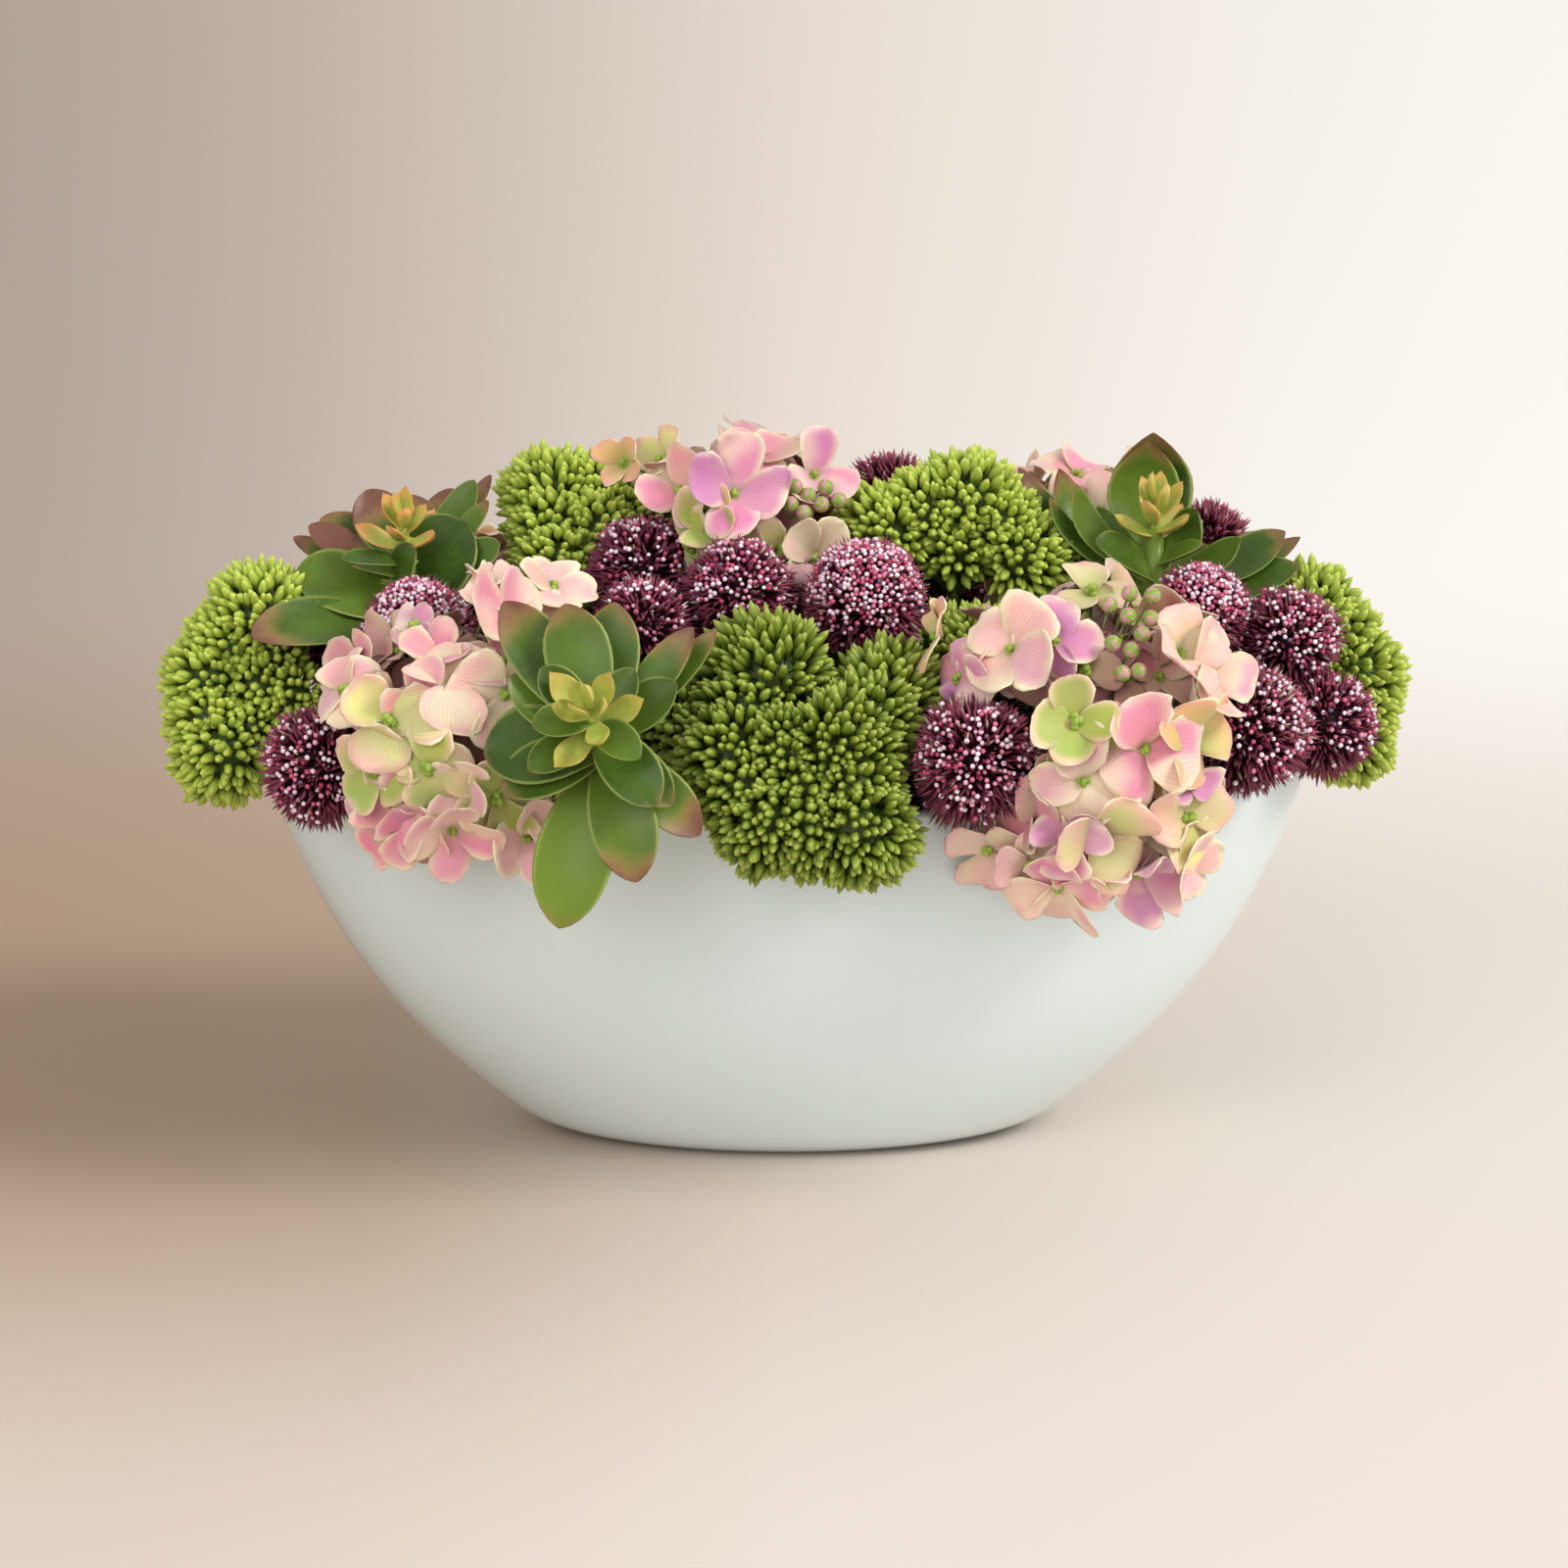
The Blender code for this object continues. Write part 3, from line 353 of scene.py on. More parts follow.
# How pointed each plant's leaves are, and how far they spread before they rise.
LEAF_POINTS = {"front": 0.72, "left": 0.62, "right": 0.85}
LEAF_SPREAD = {"front": 0.07, "left": 0.10, "right": 0.20}

# Young shoots: where each starts along its plant's stem, its height, and how far it is flushed orange.
SHOOT_LEAVES = 10
GOLDEN_TURN = math.pi * (3 - math.sqrt(5))
HEARTS = {"front": (0.45, 49), "left": (0.55, 40), "right": (0.58, 40)}
HEART_FLUSH = {"front": 0.32, "left": 1.0, "right": 0.55}

FLOOR_HALF = 9.0
SKY_STRENGTH = 0.74


def mm(values):
    return Vector(values) * MM


def seen(right, up, out):
    """A step in millimetres as seen from the front, in the row's own frame."""
    sine, cosine = math.sin(FRONT_TILT), math.cos(FRONT_TILT)
    return mm((right, up * sine - out * cosine, up * cosine + out * sine))


class Parts:
    """Collects closed shapes and what each of their points is like, and makes them one mesh."""

    def __init__(self, *words):
        self.points = []
        self.faces = []
        self.likeness = {word: [] for word in words}

    def add(self, points, faces, **likeness):
        start = len(self.points)
        self.points += [tuple(point) for point in points]
        self.faces += [[start + number for number in face] for face in faces]
        for word, gathered in self.likeness.items():
            value = likeness.get(word, 0.0)
            each = isinstance(value, (list, np.ndarray)) and len(value) == len(points)
            gathered += list(value) if each else [value] * len(points)

    def mesh(self, name):
        made = bpy.data.meshes.new(name)
        made.from_pydata(self.points, [], self.faces)
        for word, gathered in self.likeness.items():
            values = np.array(gathered, float)
            if values.ndim == 1:
                layer = made.attributes.new(word, "FLOAT", "POINT")
                layer.data.foreach_set("value", values.astype(np.float32))
            else:
                layer = made.attributes.new(word, "FLOAT_VECTOR", "POINT")
                layer.data.foreach_set("vector", values.astype(np.float32).ravel())
        made.shade_smooth()
        made.update()
        return made


def closed_faces(rings, sides):
    """Faces of a closed shape: its first point, rings of points one after the other, and its last point."""
    faces = []
    top, last = 1 + (rings - 1) * sides, 1 + rings * sides
    for side in range(sides):
        after = (side + 1) % sides
        faces.append((0, 1 + after, 1 + side))
        for ring in range(rings - 1):
            low, high = 1 + ring * sides, 1 + (ring + 1) * sides
            faces.append((low + side, low + after, high + after, high + side))
        faces.append((top + side, top + after, last))
    return faces


def show(name, mesh):
    obj = bpy.data.objects.new(name, mesh)
    bpy.context.scene.collection.objects.link(obj)
    return obj


def stands_for(name, mesh, finish, slot, *nodes):
    """One finished piece that takes the place of the named nodes."""
    obj = show(name, mesh)
    obj.data.materials.clear()
    obj.data.materials.append(finish)
    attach(obj, "root")
    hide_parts(*nodes)
    return obj


def plain_mesh(obj):
    """The object's mesh with its modifiers applied. The object itself is removed."""
    graph = bpy.context.evaluated_depsgraph_get()
    mesh = bpy.data.meshes.new_from_object(obj.evaluated_get(graph))
    bpy.data.objects.remove(obj)
    return mesh


def put(tree, kind, inputs=(), **settings):
    """Adds a node and fills its inputs with values or with other nodes' outputs."""
    made = tree.nodes.new(kind)
    for name, value in settings.items():
        setattr(made, name, value)
    for name, value in dict(inputs).items():
        if isinstance(value, bpy.types.NodeSocket):
            tree.links.new(value, made.inputs[name])
        else:
            made.inputs[name].default_value = value
    return made


# Materials


def value_of(tree, word):
    return put(tree, "ShaderNodeAttribute", attribute_name=word).outputs["Fac"]


def colour_of(tree, word):
    return put(tree, "ShaderNodeAttribute", attribute_name=word).outputs["Vector"]


def maths(tree, operation, first, second=0.0):
    return put(tree, "ShaderNodeMath", {0: first, 1: second}, operation=operation).outputs[0]


def mixed(tree, share, first, second, blend="MIX"):
    made = put(tree, "ShaderNodeMix", data_type="RGBA", blend_type=blend, clamp_factor=True)
    for number, value in ((0, share), (6, first), (7, second)):
        if isinstance(value, bpy.types.NodeSocket):
            tree.links.new(value, made.inputs[number])
        elif number == 0:
            made.inputs[number].default_value = value
        else:
            made.inputs[number].default_value = (*value, 1)
    return made.outputs[2]


def between(tree, value, low, high, to_low=0.0, to_high=1.0):
    """The value's place between low and high, eased."""
    inputs = {"Value": value, "From Min": low, "From Max": high, "To Min": to_low, "To Max": to_high}
    return put(tree, "ShaderNodeMapRange", inputs, interpolation_type="SMOOTHSTEP").outputs[0]


def grain(tree, scale, detail=3.0, stretch=(1, 1, 1)):
    """Noise on the object's own coordinates, from 0 to 1."""
    place = put(tree, "ShaderNodeTexCoord").outputs["Object"]
    laid = put(tree, "ShaderNodeMapping", {"Vector": place, "Scale": stretch}).outputs[0]
    return put(tree, "ShaderNodeTexNoise", {"Vector": laid, "Scale": scale, "Detail": detail}).outputs[0]


def shades(tree, place, *stops):
    """A run of colours along a value, as (place, colour) pairs."""
    made = put(tree, "ShaderNodeValToRGB", {0: place})
    ramp = made.color_ramp
    while len(ramp.elements) < len(stops):
        ramp.elements.new(0.5)
    for element, (position, colour) in zip(ramp.elements, stops):
        element.position = position
        element.color = (*colour, 1)
    return made.outputs[0]


def finish(name, **sockets):
    """A Principled material and its tree."""
    made = bpy.data.materials.new(name)
    made.use_nodes = True
    shader = made.node_tree.nodes["Principled BSDF"]
    for socket, value in sockets.items():
        shader.inputs[socket.replace("_", " ")].default_value = value
    return made, made.node_tree, shader


def coat(tree, shader, colour, roughness=None, height=None, depth=0.1):
    """Links a colour, and where given a roughness and a relief, to the shader."""
    tree.links.new(colour, shader.inputs["Base Color"])
    if roughness is not None:
        tree.links.new(roughness, shader.inputs["Roughness"])
    if height is not None:
        relief = put(tree, "ShaderNodeBump", {"Height": height, "Strength": 1.0, "Distance": depth * MM})
        tree.links.new(relief.outputs[0], shader.inputs["Normal"])


def glaze_finish():
    made, tree, shader = finish("white_glaze", Coat_Weight=0.6, Coat_Roughness=0.05, IOR=1.5)
    cloud = grain(tree, 9)
    colour = mixed(tree, cloud, (0.69, 0.785, 0.785), (0.73, 0.82, 0.815))
    pinholes = between(tree, grain(tree, 900, 1), 0.72, 0.80)
    colour = mixed(tree, maths(tree, "MULTIPLY", pinholes, 0.35), colour, (0.45, 0.45, 0.40))
    roughness = between(tree, grain(tree, 30), 0.2, 0.8, 0.10, 0.20)
    coat(tree, shader, colour, roughness, grain(tree, 26, 2), 0.06)
    return made


def foam_finish():
    made, tree, shader = finish("wet_foam", Roughness=0.95)
    cells = grain(tree, 700, 4)
    colour = shades(tree, cells, (0.3, (0.018, 0.030, 0.007)), (0.7, (0.085, 0.115, 0.025)))
    patch = grain(tree, 25)
    colour = mixed(tree, maths(tree, "MULTIPLY", patch, 0.5), colour, (0.05, 0.035, 0.015))
    coat(tree, shader, colour, None, cells, 2.0)
    return made


def moss_finish():
    made, tree, shader = finish("green_moss", Roughness=0.9)
    tone, along = (value_of(tree, word) for word in ("tone", "along"))
    colour = shades(
        tree, along, (0.0, (0.016, 0.024, 0.005)), (0.5, (0.045, 0.065, 0.012)), (1.0, (0.15, 0.19, 0.04)),
    )
    colour = mixed(tree, maths(tree, "MULTIPLY", tone, 0.6), colour, (0.075, 0.060, 0.020))
    colour = mixed(tree, between(tree, grain(tree, 40), 0.5, 0.7, 0, 0.5), colour, (0.06, 0.11, 0.015))
    fuzz = grain(tree, 1200, 2)
    coat(tree, shader, colour, None, fuzz, 0.4)
    return made


def stem_finish():
    made, tree, shader = finish("green_stem")
    streaks = grain(tree, 260, 4, (1, 1, 0.12))
    colour = shades(tree, streaks, (0.3, (0.07, 0.12, 0.025)), (0.7, (0.19, 0.28, 0.07)))
    colour = mixed(tree, between(tree, grain(tree, 60), 0.55, 0.75), colour, (0.22, 0.17, 0.07))
    coat(tree, shader, colour, between(tree, streaks, 0, 1, 0.4, 0.7), streaks, 0.2)
    return made


def allium_finish():
    """Plum bristles with pale ends, and beads in white, lilac, rose and crimson."""
    made, tree, shader = finish("allium_flower", Specular_IOR_Level=0.3)
    kind, tone, along = (value_of(tree, word) for word in ("kind", "tone", "along"))
    bristle = shades(
        tree, along, (0.0, (0.035, 0.004, 0.010)), (0.40, (0.105, 0.010, 0.028)),
        (1.0, (0.35, 0.080, 0.130)),
    )
    darker = maths(tree, "MULTIPLY", between(tree, tone, 0.4, 0.9), 0.6)
    bristle = mixed(tree, darker, bristle, (0.10, 0.010, 0.035))
    pale = maths(tree, "MULTIPLY", between(tree, along, 0.55, 0.95), between(tree, tone, 0.90, 0.93))
    bristle = mixed(tree, pale, bristle, (0.55, 0.58, 0.42))
    bead = shades(
        tree, tone, (0.0, (0.94, 0.87, 0.91)), (0.38, (0.90, 0.66, 0.78)), (0.56, (0.81, 0.36, 0.50)),
        (0.74, (0.66, 0.12, 0.23)), (0.93, (0.40, 0.04, 0.10)), (1.0, (0.14, 0.13, 0.24)),
    )
    colour = mixed(tree, between(tree, kind, 1.4, 1.6), bristle, bead)
    roughness = between(tree, kind, 1, 2, 0.62, 0.34)
    coat(tree, shader, colour, roughness, grain(tree, 1500, 1), 0.05)
    return made


def sedum_finish():
    """Fleshy buds, deep green below and bright at the tips, on pale stalks, with painted shade and light.
    """
    made, tree, shader = finish(
        "sedum_bud", Subsurface_Weight=0.08, Subsurface_Scale=0.002, Specular_IOR_Level=0.32,
    )
    kind, tone, along = (value_of(tree, word) for word in ("kind", "tone", "along"))
    # Partly the buds' own colour, paler at the tip: the darkest stops are painted shade at the foot between
    # the buds, and the brightest tip stop is a painted highlight.
    bud = shades(
        tree, along, (0.0, (0.02, 0.03, 0.003)), (0.40, (0.055, 0.080, 0.007)),
        (0.58, (0.115, 0.155, 0.014)), (0.82, (0.22, 0.285, 0.030)), (1.0, (0.46, 0.53, 0.12)),
    )
    bud = mixed(tree, between(tree, tone, 0.4, 1.0, 0.0, 0.45), bud, (0.09, 0.14, 0.010))
    bud = mixed(tree, between(tree, tone, 0.25, 0.0, 0.0, 0.30), bud, (0.36, 0.42, 0.09))
    # Painted light: the patch value lightens each cluster's buds and scales them brighter, as though more
    # lit.
    painted_light = value_of(tree, "patch")
    bud = mixed(tree, maths(tree, "MULTIPLY", painted_light, 0.42), bud, (0.42, 0.50, 0.09))
    painted_light_gain = maths(tree, "ADD", 1.0, maths(tree, "MULTIPLY", painted_light, 0.5))
    bud = put(tree, "ShaderNodeVectorMath", {0: bud, "Scale": painted_light_gain}, operation="SCALE").outputs[0]
    stalk = shades(tree, grain(tree, 300), (0.3, (0.035, 0.06, 0.01)), (0.7, (0.11, 0.17, 0.03)))
    colour = mixed(tree, between(tree, kind, 0.4, 0.6), stalk, bud)
    mottle = grain(tree, 900, 2)
    colour = mixed(tree, maths(tree, "MULTIPLY", mottle, 0.25), colour, (0.45, 0.55, 0.20), "SOFT_LIGHT")
    coat(tree, shader, colour, between(tree, mottle, 0.3, 0.7, 0.32, 0.48), mottle, 0.06)
    return made


def petal_finish():
    """Satin cloth petals: a coloured body, a pale frayed margin, washes of violet and green, veins, and
    painted shade deep in the head.
    """
    made, tree, shader = finish("hydrangea_petal", Sheen_Weight=0.3, Sheen_Roughness=0.4,
                                Subsurface_Weight=0.10, Subsurface_Scale=0.003)
    rim, along, across = (value_of(tree, word) for word in ("rim", "along", "across"))
    body, margin = colour_of(tree, "body_colour"), colour_of(tree, "margin_colour")
    cloud = grain(tree, 70, 3)
    drift = grain(tree, 38, 2)
    edge = maths(tree, "ADD", rim, maths(tree, "MULTIPLY", maths(tree, "SUBTRACT", cloud, 0.5), 0.35))
    washed = grain(tree, 30, 1)
    colour = mixed(tree, between(tree, washed, 0.47, 0.62, 0, 0.75), body, margin)
    colour = mixed(tree, between(tree, edge, 0.55, 1.02, 0, 0.9), colour, margin)
    violet = maths(tree, "MULTIPLY", value_of(tree, "violet"), between(tree, drift, 0.44, 0.60))
    colour = mixed(tree, maths(tree, "MULTIPLY", violet, 0.75), colour, (0.58, 0.20, 0.46))
    throat = maths(tree, "MULTIPLY", value_of(tree, "green"), between(tree, along, 0.9, 0.15))
    colour = mixed(tree, throat, colour, (0.40, 0.46, 0.10))
    colour = mixed(tree, between(tree, along, 0.22, 0.0, 0, 0.5), colour, (0.45, 0.42, 0.14))
    fan = maths(tree, "ADD", maths(tree, "MULTIPLY", across, 26), maths(tree, "MULTIPLY", cloud, 3))
    vein = between(tree, maths(tree, "ABSOLUTE", maths(tree, "SINE", fan)), 0.0, 0.35)
    veined = maths(tree, "SUBTRACT", 0.24, maths(tree, "MULTIPLY", vein, 0.24))
    colour = mixed(tree, veined, colour, (0.50, 0.20, 0.18))
    colour = mixed(tree, between(tree, edge, 0.90, 1.02, 0, 0.85), colour, (0.96, 0.89, 0.60))
    # Painted shade: florets deep in the head are darkened towards a reddish brown.
    deep = maths(tree, "MULTIPLY", value_of(tree, "deep"), 0.72)
    colour = mixed(tree, deep, colour, (0.24, 0.070, 0.045))
    weave = grain(tree, 1400, 2)
    height = maths(tree, "ADD", maths(tree, "MULTIPLY", vein, 0.4), maths(tree, "MULTIPLY", weave, 0.4))
    coat(tree, shader, colour, between(tree, weave, 0.2, 0.8, 0.48, 0.66), height, 0.22)
    return made


def floret_stalk_finish():
    """Green flower stalks and knobs, and berries with pink speckles."""
    made, tree, shader = finish("floret_green")
    kind = value_of(tree, "kind")
    streaks = grain(tree, 300, 3)
    stalk = shades(tree, streaks, (0.3, (0.08, 0.11, 0.02)), (0.7, (0.22, 0.24, 0.06)))
    knob = shades(tree, streaks, (0.3, (0.20, 0.33, 0.03)), (0.7, (0.38, 0.52, 0.07)))
    speckle = between(tree, grain(tree, 420, 3), 0.46, 0.56)
    berry = mixed(tree, maths(tree, "MULTIPLY", speckle, 0.9), (0.22, 0.37, 0.04), (0.62, 0.26, 0.32))
    colour = mixed(tree, between(tree, kind, 0.4, 0.6), stalk, knob)
    colour = mixed(tree, between(tree, kind, 1.4, 1.6), colour, berry)
    coat(tree, shader, colour, between(tree, streaks, 0, 1, 0.35, 0.55), streaks, 0.12)
    return made


def leaf_finish():
    """Thick satin leaves: light margins, paler bases, plum or tan tips and a waxy bloom."""
    made, tree, shader = finish(
        "succulent_leaf", Subsurface_Weight=0.06, Subsurface_Scale=0.003, Specular_IOR_Level=0.26,
    )
    along, across, plum, tone = (value_of(tree, word) for word in ("along", "across", "plum", "tone"))
    cloud = grain(tree, 45, 3)
    fleck = grain(tree, 500, 3)
    colour = shades(tree, cloud, (0.30, (0.017, 0.046, 0.002)), (0.72, (0.060, 0.118, 0.005)))
    colour = mixed(tree, between(tree, tone, 0, 2, 0, 0.8), colour, (0.19, 0.30, 0.022))
    colour = mixed(tree, between(tree, along, 0.45, 0.0, 0, 0.75), colour, (0.23, 0.33, 0.045))
    side = maths(tree, "ABSOLUTE", across)
    colour = mixed(tree, between(tree, side, 0.86, 0.99, 0, 0.70), colour, (0.34, 0.42, 0.10))
    reach = maths(tree, "ADD", along, maths(tree, "MULTIPLY", side, 0.08))
    reach = maths(tree, "ADD", reach, maths(tree, "MULTIPLY", maths(tree, "SUBTRACT", cloud, 0.5), 0.35))
    tinted_from = maths(tree, "SUBTRACT", 1.02, maths(tree, "MULTIPLY", plum, 0.26))
    past = maths(tree, "SUBTRACT", reach, tinted_from)
    colour = mixed(tree, between(tree, past, 0.0, 0.24, 0, 0.85), colour, (0.36, 0.20, 0.07))
    colour = mixed(tree, between(tree, past, 0.08, 0.30, 0, 0.9), colour, (0.15, 0.045, 0.040))
    colour = mixed(tree, maths(tree, "MULTIPLY", fleck, 0.08), colour, (0.30, 0.42, 0.20))
    coat(tree, shader, colour, between(tree, fleck, 0.3, 0.7, 0.26, 0.40), grain(tree, 160, 2), 0.05)
    return made


def heart_finish():
    """Young yellow-green leaves flushed orange and pink at the edges and tips."""
    made, tree, shader = finish("succulent_heart", Subsurface_Weight=0.10, Subsurface_Scale=0.003)
    along, across, flush = (value_of(tree, word) for word in ("along", "across", "plum"))
    cloud = grain(tree, 90, 3)
    colour = shades(tree, cloud, (0.3, (0.28, 0.38, 0.05)), (0.7, (0.56, 0.60, 0.13)))
    side = maths(tree, "ABSOLUTE", across)
    warm = maths(tree, "MAXIMUM", between(tree, side, 0.55, 1.0), between(tree, along, 0.45, 0.95))
    colour = mixed(tree, maths(tree, "MULTIPLY", warm, flush), colour, (0.82, 0.42, 0.12))
    tip = maths(tree, "MULTIPLY", between(tree, along, 0.85, 1.0), flush)
    colour = mixed(tree, tip, colour, (0.72, 0.24, 0.16))
    coat(tree, shader, colour, between(tree, cloud, 0.2, 0.8, 0.34, 0.46), cloud, 0.1)
    return made


# Bowl and foam


def smooth_line(points, steps):
    """A smooth line through the points."""
    ends = [points[0], *points, points[-1]]
    line = []
    for before, start, end, after in zip(ends, ends[1:], ends[2:], ends[3:]):
        before, start, end, after = (np.array(place, float) for place in (before, start, end, after))
        for step in range(steps):
            t = step / steps
            bend = 2 * before - 5 * start + 4 * end - after
            twist = -before + 3 * start - 3 * end + after
            line.append((2 * start + (end - before) * t + bend * t**2 + twist * t**3) / 2)
    line.append(np.array(points[-1], float))
    return line


def make_bowl():
    """The outside turned as an oval, given its wall inwards, and its lip rounded."""
    points = []
    for half_length, height in smooth_line(BOWL_OUTLINE, BOWL_STEPS):
        for number in range(BOWL_SIDES):
            turn = 2 * math.pi * number / BOWL_SIDES
            depth = half_length * BOWL_DEPTH_SHARE
            points.append(mm((half_length * math.cos(turn), depth * math.sin(turn), height)))
    faces = []
    rings = len(points) // BOWL_SIDES
    for ring in range(rings - 1):
        for number in range(BOWL_SIDES):
            after = (number + 1) % BOWL_SIDES
            upper, lower = ring * BOWL_SIDES, (ring + 1) * BOWL_SIDES
            faces.append((upper + after, upper + number, lower + number, lower + after))
    foot = (rings - 1) * BOWL_SIDES
    middle = len(points)
    points.append(Vector((0, 0, 0)))
    for number in range(BOWL_SIDES):
        faces.append((foot + (number + 1) % BOWL_SIDES, foot + number, middle))
    shape = Parts()
    shape.add(points, faces)
    obj = show("bowl_outside", shape.mesh("bowl"))
    wall = obj.modifiers.new("wall", "SOLIDIFY")
    wall.thickness = BOWL_WALL * MM
    wall.offset = -1
    lip = obj.modifiers.new("lip", "BEVEL")
    lip.width = LIP_ROUND * MM
    lip.segments = LIP_SEGMENTS
    lip.limit_method = "ANGLE"
    lip.angle_limit = LIP_ANGLE
    stands_for("bowl_glazed", plain_mesh(obj), glaze_finish(), "glazed_white", "planter_bowl")


def finish_foam():
    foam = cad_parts["floral_foam"]
    made = foam_finish()
    for place in foam.material_slots:
        place.material = made


# Stems


def stem_route(entry, end, arrival):
    """Straight up out of the foam, then over in a curve that arrives along the given direction."""
    bottom = mm((*entry, STEM_BASE))
    top = mm((*entry, FOAM_TOP + STEM_RISE))
    lean = (end - top).length / 3
    before_end = end - arrival * lean
    rise = top + Vector((0, 0, lean))
    route = [bottom, top]
    for step in range(1, STEM_STEPS + 1):
        share = step / STEM_STEPS
        rest = 1 - share
        point = top * rest**3 + rise * (3 * rest**2 * share)
        point += before_end * (3 * rest * share**2) + end * share**3
        route.append(point)
    return route


def arrival_of(entry, centre):
    return (centre - mm((*entry, FOAM_TOP + STEM_RISE))).normalized()


def add_tube(parts, route, radii, sides, **likeness):
    """A round bar along the route, closed at both ends, with one radius in mm at each point."""
    points = [route[0]]
    across = None
    for number, place in enumerate(route):
        before = route[max(number - 1, 0)]
        after = route[min(number + 1, len(route) - 1)]
        forward = (after - before).normalized()
        if across is None:
            across = forward.orthogonal().normalized()
        across = (across - forward * across.dot(forward)).normalized()
        other = forward.cross(across)
        for side in range(sides):
            turn = 2 * math.pi * side / sides
            points.append(place + (across * math.cos(turn) + other * math.sin(turn)) * (radii[number] * MM))
    points.append(route[-1])
    parts.add(points, closed_faces(len(route), sides), **likeness)


def add_ball(parts, centre, radius, sides=8, rings=6, **likeness):
    """A small round ball."""
    points = [centre + Vector((0, 0, -radius * MM))]
    for ring in range(1, rings):
        rise = math.pi * ring / rings - math.pi / 2
        for side in range(sides):
            turn = 2 * math.pi * side / sides
            flat = math.cos(rise)
            step = Vector((flat * math.cos(turn), flat * math.sin(turn), math.sin(rise)))
            points.append(centre + step * (radius * MM))
    points.append(centre + Vector((0, 0, radius * MM)))
    parts.add(points, closed_faces(rings - 1, sides), **likeness)


def add_stem(parts, entry, end, arrival, **likeness):
    route = stem_route(entry, end, arrival)
    count = len(route)
    places = (0, 0, *range(2, count))
    radii = [STEM_RADIUS * (1 - STEM_TAPER * number / count) for number in places]
    add_tube(parts, route, radii, STEM_SIDES, **likeness)


def make_stem(name, node, entry, centre, short_of, made):
    arrival = arrival_of(entry, centre)
    parts = Parts()
    add_stem(parts, entry, centre - arrival * (short_of * MM), arrival)
    stands_for(name, parts.mesh(name), made, "stem_green", node)


# Flower heads that are shapes standing all over a core


class Heads:
    """Where the dense heads are, so that each grows only on its own side of its neighbours."""

    def __init__(self):
        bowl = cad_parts["planter_bowl"].data
        points = [vertex.co for vertex in bowl.vertices]
        self.bowl = BVHTree.FromPolygons(points, [tuple(face.vertices) for face in bowl.polygons])
        self.balls = [(mm(centre), radius * MM) for centre, radius, _, _ in ALLIUMS]
        self.umbels = []
        for fork, _, umbels in SEDUMS.values():
            self.umbels += all_umbels(fork, umbels)

    def planes(self, centre, radius, mingle):
        """The flat limits between a head and its neighbours. Umbels mingle a little."""
        found = []
        for number, (other, other_radius) in enumerate(self.balls + self.umbels):
            away = other - centre
            distance = away.length
            if distance < MM or distance > radius + other_radius:
                continue
            past = mingle if number >= len(self.balls) else BALL_MINGLE
            plane = (distance**2 + radius**2 - other_radius**2) / (2 * distance) + past * MM
            found.append((away / distance, plane))
        return found

    def reach(self, centre, radius, direction, planes):
        """How far from its centre a head may grow in this direction."""
        allowed = radius
        for away, plane in planes:
            slope = direction.dot(away)
            if slope > 0:
                allowed = min(allowed, plane / slope)
        hit = self.bowl.ray_cast(centre, direction, radius)
        if hit[0] is not None:
            allowed = min(allowed, hit[3] - HEAD_CLEARANCE * MM)
        return max(allowed, 0)

    def room(self, start, step):
        """The share of a step that stays out of the heads and off the bowl."""
        share = 1.0
        for centre, radius in self.balls + self.umbels:
            for number in range(ROOM_STEPS + 1):
                if (start + step * (number / ROOM_STEPS) - centre).length < radius * ROOM_SHARE:
                    share = min(share, max(number - 1, 0) / ROOM_STEPS)
                    break
        hit = self.bowl.ray_cast(start, step.normalized(), step.length)
        if hit[0] is not None:
            share = min(share, max(hit[3] - PETAL_CLEARANCE * MM, 0) / step.length)
        return share


def all_umbels(fork, umbels):
    """The listed umbels, smaller ones where two of them nearly meet, and one behind them all."""
    found = [(mm(centre), radius * MM) for *centre, radius in umbels]
    root = mm(fork)
    middle = sum((centre for centre, _ in found), Vector()) / len(found)
    for one, other in itertools.combinations(list(found), 2):
        if (other[0] - one[0]).length < UMBELS_MEET * MM:
            between_them = (one[0] + other[0]) / 2
            centre = between_them + (between_them - root).normalized() * (UMBEL_STEP * MM)
            if min((centre - near).length for near, _ in found) > UMBELS_APART * MM:
                found.append((centre, min(one[1], other[1]) * SMALLER_UMBEL))
    found.append((middle.lerp(root, INNER_UMBEL_SHARE), INNER_UMBEL * MM))
    return found


